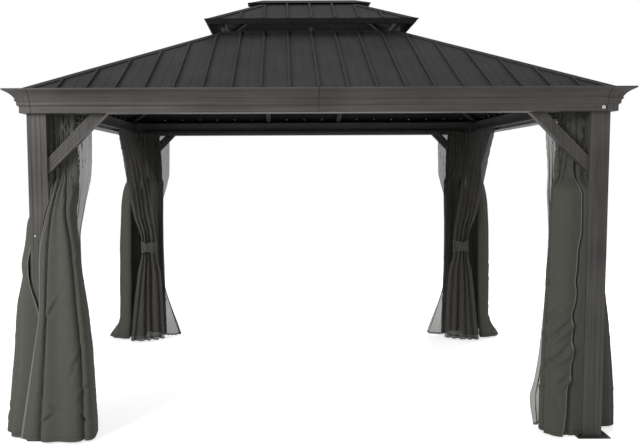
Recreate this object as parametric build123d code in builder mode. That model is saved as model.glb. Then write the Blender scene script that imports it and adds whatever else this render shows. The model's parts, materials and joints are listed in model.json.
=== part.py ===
from build123d import *
import os
from math import atan, cos, degrees, radians, sin, sqrt

# Open garden gazebo: four fluted posts, a crown fascia, a two-tier hipped roof of seamed
# sheets, and curtains gathered at the corners. Millimetres. X runs along the long side,
# Y from front to rear, Z up. The origin is on the ground, at the centre of the footprint.

os.makedirs("parts", exist_ok=True)

# Overall
roof_length = 3660.0  # over the crown's lips, along X
roof_depth = 3050.0  # over the crown's lips, along Y
eave_height = 1965.0  # underside of beams and crown
touch_gap = 0.3  # between pieces that lie on each other

# Posts and feet
post_width = 114.0
post_wall = 3.0
flute_width = 17.0
flute_depth = 2.0
flute_pitch = 29.0
flute_count = 3
plate_width = 200.0
plate_thickness = 5.0
anchor_spacing = 160.0
anchor_radius = 6.0
socket_height = 110.0
socket_wall = 3.0
socket_clearance = 1.0

# Beams, braces and curtain rails
beam_depth = 80.0
beam_height = 115.0
beam_wall = 3.0
brace_width = 67.0
brace_depth = 50.0
brace_drop = 358.0  # lowest point on the post, below the beam
brace_groove_width = 9.0
brace_groove_depth = 2.0
brace_groove_pitch = 18.0
rail_drop = 20.0  # the rail's underside above the beam's underside
rail_depth = 46.0
rail_height = 20.0
rail_wall = 2.0
rail_slot = 7.0
rail_end_gap = 62.0

# Crown fascia, out from the posts' outer faces and up from its underside
crown_reach = 107.0
crown_height = 137.0
crown_wall = 2.5
band_out = 32.0
band_height = 33.0
step_out = 43.0
step_height = 49.0
strip_height = 61.0
bead_out = 54.0
bead_height = 75.0
groove_out = 50.0
groove_height = 78.0
cove_start = 82.0
cove_angle = 60.0  # of the cove's foot, from level
cove_out = 95.0
cove_height = 122.0
lip_foot = 129.0
crown_top = 130.0
lip_thickness = 3.0
cap_length = 140.0  # of a corner cap, from the lip
joint_gap = 3.0
splice_length = 120.0
splice_thickness = 2.0

# Lower roof
roof_pitch = 0.482  # rise over run
eave_inset = 75.0  # roof edge inside the crown's lip
skin = 2.5
seam_pitch = 170.5
seam_width = 14.0
seam_height = 16.0
rib_width = 10.0  # faint rib in the middle of each sheet
rib_height = 1.5
hip_gap = 4.0  # from a face's edge to the hip line
vent_depth = 703.0  # opening at the top of the lower roof, along Y
vent_lip = 12.0
vent_lip_thickness = 2.0
hip_cap_wing = 42.0
hip_cap_height = 7.0  # of its folded sides, over the sheets
cap_thickness = 2.0

# Rafters and vent
rafter_width = 40.0
rafter_depth = 50.0
mid_rafter_place = 341.0  # from the centre, along X
curb_depth = 56.0
curb_height = 40.0
strut_width = 25.0
strut_clearance = 2.0  # inside the roof's top edge

# Upper roof
upper_overhang = 113.0  # lip beyond the vent opening
upper_lift = 82.0  # lip above the lower roof's top edge
upper_band = 34.0
upper_flare = 27.0
upper_wall = 3.0
upper_drop = 8.0  # roof edge below the lip
ridge_gap = 6.0
ring_width = 25.0
ridge_cap_length = 946.0
ridge_cap_depth = 140.0
ridge_cap_rise = 33.0
ridge_cap_top_length = 713.0
ridge_cap_top_depth = 4.0

# Curtains and nets
hem_height = 14.0
brace_clearance = 7.0  # cloth comes forward this far under the braces' feet
waist_height = 905.0  # middle of the tie bands
band_width = 108.0
band_thickness = 3.0

# Derived places
half_length = roof_length / 2
half_depth = roof_depth / 2
post_x = half_length - crown_reach - post_width / 2
post_y = half_depth - crown_reach - post_width / 2
slope_factor = sqrt(1 + roof_pitch**2)
roof_edge_z = eave_height + crown_top + touch_gap + skin * slope_factor
lower_run = (roof_depth - vent_depth) / 2 - eave_inset
vent_length = roof_length - (roof_depth - vent_depth)
roof_top_z = roof_edge_z + roof_pitch * lower_run
beam_top_z = eave_height + beam_height
upper_half_length = vent_length / 2 + upper_overhang
upper_half_depth = vent_depth / 2 + upper_overhang
upper_tip_z = roof_top_z + upper_lift
upper_edge_z = upper_tip_z - upper_drop
upper_foot_drop = upper_drop + skin / slope_factor  # underside of the roof's edge, below the lip
upper_inset = (
    upper_wall + upper_foot_drop * upper_flare / upper_band - skin * roof_pitch / slope_factor + 1.5 * touch_gap
)
upper_run = upper_half_depth - upper_inset
ridge_z = upper_edge_z + roof_pitch * upper_run
corners = [
    ("front_left", -1, -1),
    ("front_right", 1, -1),
    ("rear_left", -1, 1),
    ("rear_right", 1, 1),
]


def write(piece, name):
    """Labels a finished piece and writes it to its own file."""
    piece.part.label = name
    export_step(piece.part, f"parts/{name}.step")


def roof_z(inset):
    """Height of the lower roof's top surface, at a distance in from the crown's lip."""
    return roof_edge_z + roof_pitch * (inset - eave_inset)


def pitched_plane(side, half_x, half_y, edge_z):
    """Plane of a roof face: origin in the middle of its eave edge, local Y up the slope."""
    if side in ("front", "rear"):
        way = -1 if side == "front" else 1
        return Plane(origin=(0, way * half_y, edge_z), x_dir=(-way, 0, 0), z_dir=(0, way * roof_pitch, 1))
    way = -1 if side == "left" else 1
    return Plane(origin=(way * half_x, 0, edge_z), x_dir=(0, way, 0), z_dir=(way * roof_pitch, 0, 1))


# Posts: hollow fluted extrusions that stand on their foot plates
with BuildPart() as post:
    with BuildSketch(Plane.XY.offset(plate_thickness)):
        Rectangle(post_width, post_width)
        with PolarLocations(post_width / 2, 4):
            with GridLocations(flute_width, flute_pitch, 1, flute_count):
                Rectangle(2 * flute_depth, flute_width, mode=Mode.SUBTRACT)
        Rectangle(post_width - 2 * post_wall - 2 * flute_depth, post_width - 2 * post_wall - 2 * flute_depth,
                  mode=Mode.SUBTRACT)
    extrude(amount=beam_top_z - plate_thickness)
for corner, x_way, y_way in corners:
    with BuildPart() as corner_post:
        add(post.part.moved(Location((x_way * post_x, y_way * post_y, 0))))
    write(corner_post, f"post_{corner}")

# Foot plates: a drilled plate with a square socket that the post drops over
socket_width = post_width - 2 * post_wall - 2 * flute_depth - 2 * socket_clearance
with BuildPart() as foot_plate:
    with BuildSketch():
        RectangleRounded(plate_width, plate_width, 8)
        with GridLocations(anchor_spacing, anchor_spacing, 2, 2):
            Circle(anchor_radius, mode=Mode.SUBTRACT)
    extrude(amount=plate_thickness)
    with BuildSketch(Plane.XY.offset(plate_thickness)):
        Rectangle(socket_width, socket_width)
        Rectangle(socket_width - 2 * socket_wall, socket_width - 2 * socket_wall, mode=Mode.SUBTRACT)
    extrude(amount=socket_height)
for corner, x_way, y_way in corners:
    with BuildPart() as corner_plate:
        add(foot_plate.part.moved(Location((x_way * post_x, y_way * post_y, 0))))
    write(corner_plate, f"foot_plate_{corner}")

# Beams: hollow tubes between the posts, flush with the posts' outer faces
beams = [
    ("beam_front", (0, -1), 2 * post_x - post_width),
    ("beam_rear", (0, 1), 2 * post_x - post_width),
    ("beam_left", (-1, 0), 2 * post_y - post_width),
    ("beam_right", (1, 0), 2 * post_y - post_width),
]
post_face_x = post_x + post_width / 2
post_face_y = post_y + post_width / 2
beam_z = eave_height + beam_height / 2
for name, (x_way, y_way), span in beams:
    along_x = x_way == 0
    section = Plane.YZ if along_x else Plane.XZ
    place = (
        (0, y_way * (post_face_y - beam_depth / 2), beam_z) if along_x
        else (x_way * (post_face_x - beam_depth / 2), 0, beam_z)
    )
    with BuildPart() as beam:
        with BuildSketch(Plane(origin=place, x_dir=section.x_dir, z_dir=section.z_dir)):
            Rectangle(beam_depth, beam_height)
            Rectangle(beam_depth - 2 * beam_wall, beam_height - 2 * beam_wall, mode=Mode.SUBTRACT)
        extrude(amount=span / 2, both=True)
    write(beam, name)

# Braces: two grooved bars at each post, at 45 degrees, one under each beam
brace_reach = brace_drop - sqrt(2) * brace_width
with BuildPart() as brace:
    with BuildSketch(Plane.XZ):
        with BuildLine():
            Polyline(
                (0, -brace_drop),
                (brace_drop, 0),
                (brace_reach, 0),
                (0, -brace_reach),
                close=True,
            )
        make_face()
    extrude(amount=brace_depth / 2, both=True)
    brace_middle = (brace_drop + brace_reach) / 2
    for face_way in (-1, 1):
        face = Plane(
            origin=(brace_middle / 2, face_way * brace_depth / 2, -brace_middle / 2),
            x_dir=(1, 0, 1),
            z_dir=(0, face_way, 0),
        )
        with BuildSketch(face):
            with GridLocations(1, brace_groove_pitch, 1, 3):
                Rectangle(2 * brace_drop, brace_groove_width)
        extrude(amount=-brace_groove_depth, mode=Mode.SUBTRACT)
front_brace_y = post_face_y - beam_depth / 2
side_brace_x = post_face_x - beam_depth / 2
for corner, x_way, y_way in corners:
    with BuildPart() as corner_braces:
        along_front = Plane(
            origin=(x_way * (post_x - post_width / 2), y_way * front_brace_y, eave_height),
            x_dir=(-x_way, 0, 0),
            z_dir=(0, 0, 1),
        )
        along_side = Plane(
            origin=(x_way * side_brace_x, y_way * (post_y - post_width / 2), eave_height),
            x_dir=(0, -y_way, 0),
            z_dir=(0, 0, 1),
        )
        add(brace.part.moved(along_front.location))
        add(brace.part.moved(along_side.location))
    write(corner_braces, f"braces_{corner}")

# Curtain rails: twin open tracks along the inside of each beam
with BuildPart() as curtain_rails:
    for side in ("front", "rear", "left", "right"):
        on_front = side in ("front", "rear")
        way = -1 if side in ("front", "left") else 1
        inner = (post_face_y if on_front else post_face_x) - beam_depth - rail_depth / 2
        span = 2 * (post_x if on_front else post_y) - post_width - 2 * rail_end_gap
        section = Plane(
            origin=(0, way * inner, eave_height + rail_drop) if on_front else (way * inner, 0, eave_height + rail_drop),
            x_dir=(0, way, 0) if on_front else (way, 0, 0),
            z_dir=(way, 0, 0) if on_front else (0, -way, 0),
        )
        track = rail_depth / 2
        with BuildSketch(section):
            with Locations((0, rail_height / 2)):
                Rectangle(rail_depth, rail_height)
            for track_way in (-1, 1):
                with Locations((track_way * track / 2, rail_height / 2)):
                    Rectangle(track - 1.5 * rail_wall, rail_height - 2 * rail_wall, mode=Mode.SUBTRACT)
                with Locations((track_way * track / 2, 0)):
                    Rectangle(rail_slot, 2 * rail_wall + 0.1, mode=Mode.SUBTRACT)
        extrude(amount=span / 2, both=True)
write(curtain_rails, "curtain_rails")

# Crown fascia: one moulded hollow profile swept round the eaves, cut into caps and lengths
ogee_middle = ((band_out + step_out) / 2, (band_height + step_height) / 2)
cove_way = (cos(radians(cove_angle)), sin(radians(cove_angle)))
with BuildPart() as crown_ring:
    with BuildSketch(Plane(origin=(0, -post_face_y, eave_height), x_dir=(0, -1, 0), z_dir=(-1, 0, 0))):
        with BuildLine():
            Polyline((0, 0), (band_out, 0), (band_out, band_height))
            TangentArc((band_out, band_height), ogee_middle, tangent=(0, 1))
            TangentArc((step_out, step_height), ogee_middle, tangent=(0, -1))
            Polyline(
                (step_out, step_height),
                (step_out, strip_height),
                (bead_out, bead_height),
                (groove_out, groove_height),
                (groove_out, cove_start),
            )
            TangentArc((groove_out, cove_start), (cove_out, cove_height), tangent=cove_way)
            Polyline(
                (cove_out, cove_height),
                (crown_reach, lip_foot),
                (crown_reach, crown_height),
                (crown_reach - lip_thickness, crown_height),
                (crown_reach - lip_thickness, crown_top),
                (0, crown_top),
                (0, 0),
            )
        make_face()
        with BuildLine():
            Polyline(
                (cove_out - 2 * crown_wall, crown_top - crown_wall),
                (crown_wall, crown_top - crown_wall),
                (crown_wall, crown_wall),
                (band_out - crown_wall, crown_wall),
                (band_out - crown_wall, band_height),
                (step_out - crown_wall, step_height),
                (step_out - crown_wall, strip_height),
                (groove_out - crown_wall, groove_height),
                (groove_out - crown_wall, cove_start),
            )
            TangentArc(
                (groove_out - crown_wall, cove_start),
                (cove_out - 2 * crown_wall, crown_top - crown_wall),
                tangent=cove_way,
            )
        make_face(mode=Mode.SUBTRACT)
    with BuildLine() as eave_line:
        Polyline(
            (0, -post_face_y, eave_height),
            (post_face_x, -post_face_y, eave_height),
            (post_face_x, post_face_y, eave_height),
            (-post_face_x, post_face_y, eave_height),
            (-post_face_x, -post_face_y, eave_height),
            (0, -post_face_y, eave_height),
        )
    sweep(path=eave_line.wires()[0], transition=Transition.RIGHT)
cap_edge_x = half_length - cap_length
cap_edge_y = half_depth - cap_length
crown_z = eave_height + crown_height / 2
box_height = 2 * crown_height
for corner, x_way, y_way in corners:
    with BuildPart() as corner_cap:
        add(crown_ring.part)
        with Locations((x_way * half_length, y_way * half_depth, crown_z)):
            Box(2 * cap_length, 2 * cap_length, box_height, mode=Mode.INTERSECT)
    write(corner_cap, f"crown_cap_{corner}")
front_length = cap_edge_x - 1.5 * joint_gap
for name, x_way, y_way in (
    ("crown_front_left", -1, -1),
    ("crown_front_right", 1, -1),
    ("crown_rear_left", -1, 1),
    ("crown_rear_right", 1, 1),
):
    with BuildPart() as crown_length:
        add(crown_ring.part)
        with Locations((x_way * (joint_gap / 2 + front_length / 2), y_way * half_depth, crown_z)):
            Box(front_length, 2 * crown_reach + 2, box_height, mode=Mode.INTERSECT)
    write(crown_length, name)
for name, x_way in (("crown_left", -1), ("crown_right", 1)):
    with BuildPart() as crown_side:
        add(crown_ring.part)
        with Locations((x_way * half_length, 0, crown_z)):
            Box(2 * crown_reach + 2, 2 * (cap_edge_y - joint_gap), box_height, mode=Mode.INTERSECT)
    write(crown_side, name)

# Splice plates inside the two long crowns, behind the joint in the middle
with BuildPart() as crown_splices:
    for y_way in (-1, 1):
        with Locations((0, y_way * (post_face_y + crown_wall + touch_gap + splice_thickness / 2),
                        eave_height + crown_top / 2)):
            Box(splice_length, splice_thickness, crown_top - 4 * crown_wall)
write(crown_splices, "crown_splices")


def seamed_face(plane, half_edge, run, top_gap, lip):
    """A flat roof face, cut short of the hips, with standing seams and an upturned top edge."""
    slope_run = (run - top_gap) * slope_factor
    half_low = half_edge - hip_gap
    half_high = half_low - (run - top_gap)
    under_cap = half_edge - sqrt(2) * hip_cap_wing - touch_gap
    seam_count = int((under_cap - seam_width) / seam_pitch)
    with BuildPart() as face:
        with BuildSketch(plane):
            with BuildLine():
                Polyline(
                    (-half_low, 0),
                    (half_low, 0),
                    (half_high, slope_run),
                    (-half_high, slope_run),
                    close=True,
                )
            make_face()
        extrude(amount=-skin)
        with BuildSketch(plane):
            for place in range(-seam_count, seam_count + 1):
                middle = place * seam_pitch
                reach = min(run - top_gap, under_cap - abs(middle) - seam_width / 2) * slope_factor
                with Locations((middle, reach / 2)):
                    Rectangle(seam_width, reach)
        extrude(amount=seam_height)
        with BuildSketch(plane):
            for place in range(-seam_count, seam_count):
                middle = (place + 0.5) * seam_pitch
                reach = min(run - top_gap, under_cap - abs(middle) - rib_width / 2) * slope_factor
                with Locations((middle, reach / 2)):
                    Rectangle(rib_width, reach)
        extrude(amount=rib_height)
        if lip:
            top = Plane(origin=plane.from_local_coords((0, slope_run, 0)), x_dir=plane.x_dir, z_dir=(0, 0, 1))
            with BuildSketch(top.offset(-skin / 2)):
                with Locations((0, -vent_lip_thickness / 2)):
                    Rectangle(2 * half_high, vent_lip_thickness)
            extrude(amount=lip + skin / 2)
    return face


# Lower roof faces
lower_half_x = half_length - eave_inset
lower_half_y = half_depth - eave_inset
for side in ("front", "rear", "left", "right"):
    half_edge = lower_half_x if side in ("front", "rear") else lower_half_y
    plane = pitched_plane(side, lower_half_x, lower_half_y, roof_edge_z)
    write(seamed_face(plane, half_edge, lower_run, 0, vent_lip), f"roof_lower_{side}")

# Upper roof faces
upper_half_x = upper_half_length - upper_inset
upper_half_y = upper_half_depth - upper_inset
for side in ("front", "rear", "left", "right"):
    half_edge = upper_half_x if side in ("front", "rear") else upper_half_y
    plane = pitched_plane(side, upper_half_x, upper_half_y, upper_edge_z)
    write(seamed_face(plane, half_edge, upper_run, ridge_gap, 0), f"roof_upper_{side}")

# Hip caps: folded strips along each hip, with their sides turned down to the sheets
hip_fall = roof_pitch / sqrt(roof_pitch**2 + 2)
hip_factor = sqrt(roof_pitch**2 + 2)
hip_lift = (hip_cap_height - cap_thickness) * sqrt(2) * slope_factor / hip_factor
hip_rest = touch_gap * sqrt(2) * slope_factor / hip_factor


def hip_strip(half_x, half_y, edge_z, run):
    """One hip cap on the front left hip, running past both of its ends."""
    start = Plane(
        origin=(-half_x, -half_y, edge_z),
        x_dir=(-1, 1, 0),
        z_dir=(1, 1, roof_pitch),
    )
    with BuildPart() as strip:
        with BuildSketch(start.offset(-hip_cap_wing)):
            with BuildLine():
                side = [
                    (hip_cap_wing - cap_thickness, hip_lift - hip_fall * (hip_cap_wing - cap_thickness)),
                    (hip_cap_wing - cap_thickness, hip_rest - hip_fall * (hip_cap_wing - cap_thickness)),
                    (hip_cap_wing, hip_rest - hip_fall * hip_cap_wing),
                    (hip_cap_wing, hip_lift - hip_fall * hip_cap_wing + cap_thickness),
                ]
                Polyline(
                    (0, hip_lift),
                    *side,
                    (0, hip_lift + cap_thickness),
                    *[(-across, height) for across, height in side[::-1]],
                    close=True,
                )
            make_face()
        extrude(amount=hip_cap_wing + run * hip_factor)
        with Locations((0, 0, edge_z)):
            Box(2 * half_x, 2 * half_y, 4 * run, mode=Mode.INTERSECT)
    return strip


def on_four_hips(strip):
    """Copies a front left piece to all four corners."""
    with BuildPart() as four:
        add(strip.part)
        mirror(about=Plane.YZ)
        mirror(about=Plane.XZ)
    return four


write(on_four_hips(hip_strip(lower_half_x, lower_half_y, roof_edge_z, lower_run)), "hip_caps_lower")

# Ridge cap: a folded cap closed at both ends, lying on the seams
ridge_base_z = ridge_z - roof_pitch * ridge_cap_depth / 2 + (seam_height + touch_gap) * slope_factor + cap_thickness
with BuildPart() as ridge_cap:
    for level in (0, -cap_thickness):
        with BuildSketch(Plane.XY.offset(ridge_base_z + level)):
            Rectangle(ridge_cap_length, ridge_cap_depth)
        with BuildSketch(Plane.XY.offset(ridge_base_z + level + ridge_cap_rise)):
            Rectangle(ridge_cap_top_length, ridge_cap_top_depth)
        loft(ruled=True, mode=Mode.ADD if level == 0 else Mode.SUBTRACT)
write(ridge_cap, "ridge_cap")
upper_strip = hip_strip(upper_half_x, upper_half_y, upper_edge_z, upper_run)
with BuildPart() as upper_hip:
    add(upper_strip.part)
    with Locations((0, 0, ridge_z)):
        Box(ridge_cap_length + 2 * joint_gap, ridge_cap_depth + 2 * joint_gap, 4 * upper_run, mode=Mode.SUBTRACT)
write(on_four_hips(upper_hip), "hip_caps_upper")

# Rafters: bars under the lower roof, notched over the beams, from the beams to the curb
rafter_top_drop = skin * slope_factor + touch_gap
rafter_run = lower_run + eave_inset - crown_reach - curb_depth / 2
curb_top_z = roof_z(crown_reach + rafter_run) - rafter_top_drop
hip_start = rafter_width / 2
hip_end = rafter_run * sqrt(2)
hip_slope = roof_pitch / sqrt(2)
hip_drop = rafter_width / 2 * hip_slope + touch_gap
with BuildPart() as hip_rafters:
    hip_section = Plane(
        origin=(-post_face_x, -post_face_y, roof_z(crown_reach) - rafter_top_drop),
        x_dir=(1, 1, 0),
        z_dir=(1, -1, 0),
    )
    with BuildSketch(hip_section):
        with BuildLine():
            Polyline(
                (hip_start, hip_start * hip_slope - hip_drop),
                (hip_end, hip_end * hip_slope - hip_drop),
                (hip_end, hip_end * hip_slope - rafter_depth),
                (hip_start, hip_start * hip_slope - rafter_depth),
                close=True,
            )
        make_face()
    extrude(amount=rafter_width / 2, both=True)
    with Locations((-post_x, -post_y, beam_top_z - rafter_depth)):
        Box(4 * post_width, 4 * post_width, 2 * rafter_depth, mode=Mode.SUBTRACT)
    with Locations((0, 0, curb_top_z)):
        Box(vent_length + curb_depth, vent_depth + curb_depth, 8 * curb_height, mode=Mode.SUBTRACT)
    mirror(about=Plane.YZ)
    mirror(about=Plane.XZ)
write(hip_rafters, "hip_rafters")

# Mid rafters, from each beam to the curb
mid_lines = [
    (-mid_rafter_place, -1), (mid_rafter_place, -1), (-mid_rafter_place, 1), (mid_rafter_place, 1),
]
with BuildPart() as mid_rafters:
    for place, way in mid_lines + [(0, -2), (0, 2)]:
        on_side = abs(way) == 2
        way = way // abs(way)
        origin = (way * post_face_x, 0) if on_side else (place, way * post_face_y)
        section = Plane(
            origin=(*origin, roof_z(crown_reach) - rafter_top_drop),
            x_dir=(-way, 0, 0) if on_side else (0, -way, 0),
            z_dir=(0, way, 0) if on_side else (-way, 0, 0),
        )
        with BuildSketch(section):
            with BuildLine():
                Polyline(
                    (0, 0),
                    (rafter_run, rafter_run * roof_pitch),
                    (rafter_run, rafter_run * roof_pitch - rafter_depth),
                    (0, -rafter_depth),
                    close=True,
                )
            make_face()
        extrude(amount=rafter_width / 2, both=True)
    with Locations((0, 0, beam_top_z - rafter_depth)):
        Box(2 * half_length, 2 * half_depth, 2 * rafter_depth, mode=Mode.SUBTRACT)
write(mid_rafters, "mid_rafters")

# Curb: the frame round the opening at the top of the lower roof
with BuildPart() as vent_curb:
    with BuildSketch(Plane.XY.offset(curb_top_z - curb_height)):
        Rectangle(vent_length + curb_depth, vent_depth + curb_depth)
        Rectangle(vent_length - curb_depth, vent_depth - curb_depth, mode=Mode.SUBTRACT)
    extrude(amount=curb_height)
write(vent_curb, "vent_curb")

# Upper ring and the struts that carry it on the curb
strut_x = vent_length / 2 - strut_clearance - strut_width / 2
strut_y = vent_depth / 2 - strut_clearance - strut_width / 2
ring_inset = upper_overhang + strut_clearance
ring_top_z = upper_edge_z + roof_pitch * (ring_inset - upper_inset) - skin * slope_factor - touch_gap
with BuildPart() as vent_struts:
    with BuildSketch(Plane.XY.offset(curb_top_z)):
        with GridLocations(strut_x, 2 * strut_y, 3, 2):
            Rectangle(strut_width, strut_width)
    extrude(amount=ring_top_z - ring_width - curb_top_z)
write(vent_struts, "vent_struts")
with BuildPart() as upper_ring:
    with BuildSketch(Plane.XY.offset(ring_top_z - ring_width)):
        Rectangle(2 * strut_x + strut_width, 2 * strut_y + strut_width)
        Rectangle(2 * strut_x - strut_width, 2 * strut_y - strut_width, mode=Mode.SUBTRACT)
    extrude(amount=ring_width)
write(upper_ring, "upper_ring")

# Ridge bar, and the hip bars that rise to it from the ring
ridge_half = upper_half_length - upper_half_depth
ridge_bar_top_z = ridge_z - skin * slope_factor - touch_gap - roof_pitch * strut_width / 2
upper_hip_drop = strut_width / 2 * hip_slope + touch_gap
upper_hip_end = upper_run * sqrt(2)
with BuildPart() as ridge_bar:
    upper_hip_section = Plane(
        origin=(-upper_half_x, -upper_half_y, upper_edge_z - rafter_top_drop),
        x_dir=(1, 1, 0),
        z_dir=(1, -1, 0),
    )
    with BuildSketch(upper_hip_section):
        with BuildLine():
            Polyline(
                (0, -upper_hip_drop),
                (upper_hip_end, upper_hip_end * hip_slope - upper_hip_drop),
                (upper_hip_end, upper_hip_end * hip_slope - upper_hip_drop - strut_width),
                (0, -upper_hip_drop - strut_width),
                close=True,
            )
        make_face()
    extrude(amount=strut_width / 2, both=True)
    with Locations((0, 0, ridge_z)):
        Box(2 * strut_x - strut_width - 2 * touch_gap, 2 * strut_y - strut_width - 2 * touch_gap, 4 * upper_run,
            mode=Mode.INTERSECT)
    mirror(about=Plane.YZ)
    mirror(about=Plane.XZ)
    with Locations((0, 0, ridge_bar_top_z - strut_width)):
        Box(2 * ridge_half, strut_width, 2 * strut_width)
write(ridge_bar, "ridge_bar")

# Upper crown: a flared band under the upper roof's edge, with an inward foot
band_angle = degrees(atan(upper_flare / upper_band))
with BuildPart() as upper_crown:
    foot_x = upper_half_length - upper_flare
    foot_y = upper_half_depth - upper_flare
    with BuildSketch(Plane.XY.offset(upper_tip_z - upper_band)):
        Rectangle(2 * foot_x, 2 * foot_y)
    extrude(amount=upper_band, taper=-band_angle)
    with BuildSketch(Plane.XY.offset(upper_tip_z - upper_band)):
        Rectangle(2 * (foot_x - upper_wall), 2 * (foot_y - upper_wall))
    extrude(amount=upper_band, taper=-band_angle, mode=Mode.SUBTRACT)
    with BuildSketch(Plane.XY.offset(upper_tip_z - upper_band)):
        Rectangle(2 * foot_x, 2 * foot_y)
        Rectangle(2 * (foot_x - 6 * upper_wall), 2 * (foot_y - 6 * upper_wall), mode=Mode.SUBTRACT)
    extrude(amount=upper_wall)
write(upper_crown, "upper_crown")

# Curtains and nets: closed stand-ins for the gathered cloth. A level of a fall is its height, as a
# share of the height where the braces' feet end, and four points in plan: (along the rail,
# inwards, half depth), in half post widths from the post's centre.
cloth_unit = post_width / 2
brace_foot = eave_height - brace_drop - brace_clearance
top = (eave_height + rail_drop - touch_gap) / brace_foot
bottom = hem_height / brace_foot
waist_low = (waist_height - band_width / 2) / brace_foot
waist_high = (waist_height + band_width / 2) / brace_foot
curtain_line = 0.64
curtain_half = 0.17
behind_half = 0.36
net_line = 1.08
net_half = 0.16


def span(height, start, end, line, half):
    """A straight level of a fall, spread along the rail."""
    step = (end - start) / 3
    return (height, [(start + k * step, line, half) for k in range(4)])


def hung(rail, behind, *levels):
    """The levels of a fall that hangs on its rail and passes behind a brace."""
    return [
        span(top, *rail, curtain_line, curtain_half),
        span(1.0, *behind, curtain_line, behind_half),
        *levels,
    ]


front_left_front = hung(
    (1.06, 3.6), (1.1, 3.85),
    (0.9375, [(1.3, -1.0, 0.13), (1.9, -0.88, 0.36), (3.15, -0.35, 0.48), (3.7, 0.7, 0.42)]),
    (0.866, [(0.75, -1.27, 0.15), (1.6, -1.26, 0.3), (2.9, -0.85, 0.42), (3.45, 0.6, 0.38)]),
    (0.704, [(0.05, -1.3, 0.18), (1.3, -1.4, 0.36), (3.25, -1.1, 0.5), (3.65, 0.7, 0.42)]),
    (0.356, [(-1.27, -1.37, 0.23), (1.05, -1.72, 0.58), (4.1, -1.5, 0.6), (4.7, 0.95, 0.42)]),
    (bottom, [(-2.4, -1.4, 0.25), (1.0, -2.05, 0.72), (4.5, -1.85, 0.75), (5.0, 1.2, 0.5)]),
)
front_left_side = hung(
    (1.3, 5.8), (1.35, 5.7),
    (0.96, [(1.4, 0.1, 0.3), (2.6, 0.0, 0.36), (4.0, 0.1, 0.4), (5.5, 0.5, 0.4)]),
    (0.92, [(1.42, -0.25, 0.25), (2.45, -0.5, 0.35), (4.0, -0.2, 0.45), (5.3, 0.5, 0.42)]),
    (0.8125, [(1.4, -1.05, 0.17), (1.75, -1.5, 0.38), (3.5, -1.05, 0.53), (5.1, 0.2, 0.5)]),
    (0.603, [(0.35, -1.33, 0.17), (1.5, -2.3, 0.5), (3.5, -1.95, 0.7), (4.9, -0.5, 0.63)]),
    (0.356, [(-0.7, -1.4, 0.2), (0.9, -2.8, 0.56), (3.3, -2.6, 0.8), (4.7, -1.05, 0.7)]),
    (bottom, [(-0.8, -2.65, 0.2), (0.8, -4.1, 0.6), (3.3, -3.75, 0.95), (4.5, -1.6, 0.8)]),
)
front_right_front = hung(
    (1.06, 3.75), (1.1, 4.1),
    (0.935, [(1.1, -0.8, 0.14), (2.63, -0.74, 0.39), (3.86, -0.05, 0.5), (4.12, 1.0, 0.33)]),
    (0.552, [(1.1, -0.88, 0.14), (2.9, -0.9, 0.42), (4.07, -0.18, 0.56), (4.35, 1.26, 0.42)]),
    (0.2775, [(1.1, -0.88, 0.14), (3.07, -1.1, 0.46), (4.3, -0.35, 0.6), (4.6, 1.4, 0.46)]),
    (bottom, [(1.1, -0.91, 0.14), (3.33, -1.32, 0.53), (4.4, -0.53, 0.6), (4.65, 1.5, 0.5)]),
)
front_right_side = hung(
    (1.3, 5.26), (1.35, 5.25),
    (0.96, [(1.4, 0.15, 0.3), (2.5, 0.05, 0.36), (3.8, 0.15, 0.4), (5.1, 0.5, 0.38)]),
    (0.92, [(1.4, -0.05, 0.22), (2.28, -0.38, 0.35), (3.7, -0.2, 0.42), (4.9, 0.42, 0.39)]),
    (0.636, [(1.4, -0.7, 0.21), (2.0, -1.72, 0.46), (3.5, -1.4, 0.6), (4.74, 0.0, 0.53)]),
    (0.144, [(1.5, -1.12, 0.25), (1.96, -3.25, 0.49), (3.7, -2.9, 0.79), (4.74, -0.7, 0.61)]),
    (bottom, [(1.47, -1.16, 0.25), (1.86, -3.37, 0.46), (3.77, -3.07, 0.84), (4.9, -0.88, 0.67)]),
)
rear_rear = hung(
    (1.06, 4.75), (1.1, 5.0),
    (0.9375, [(1.25, -1.0, 0.13), (2.9, -0.6, 0.39), (4.65, 0.15, 0.5), (4.95, 1.0, 0.33)]),
    (0.866, [(0.75, -1.3, 0.13), (2.9, -0.72, 0.4), (4.6, 0.05, 0.5), (4.9, 1.02, 0.35)]),
    (0.55, [(0.7, -1.3, 0.14), (2.8, -0.8, 0.42), (4.5, -0.1, 0.52), (4.65, 1.09, 0.38)]),
    (bottom, [(0.6, -1.35, 0.16), (3.0, -0.95, 0.46), (4.75, -0.3, 0.56), (4.9, 1.2, 0.42)]),
)
rear_side = hung(
    (1.3, 4.35), (1.35, 4.3),
    (0.925, [(1.4, -0.15, 0.21), (2.2, -0.66, 0.35), (3.33, -0.45, 0.42), (4.2, 0.4, 0.39)]),
    (0.797, [(1.4, -0.85, 0.21), (1.93, -1.4, 0.35), (3.16, -1.0, 0.49), (4.1, 0.3, 0.42)]),
    (0.55, [(1.44, -0.96, 0.21), (1.84, -1.67, 0.39), (3.16, -1.3, 0.56), (4.1, 0.18, 0.46)]),
    (0.156, [(1.47, -1.05, 0.23), (1.93, -1.6, 0.42), (3.16, -1.5, 0.6), (4.1, 0.0, 0.49)]),
    (bottom, [(1.44, -1.23, 0.23), (1.49, -3.95, 0.35), (3.0, -2.63, 0.6), (3.95, -0.35, 0.49)]),
)
tied_waist = [(4.75, 4.47, 0.65), (4.93, 3.7, 0.79), (4.93, 2.9, 0.79), (5.1, 2.14, 0.65)]
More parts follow.
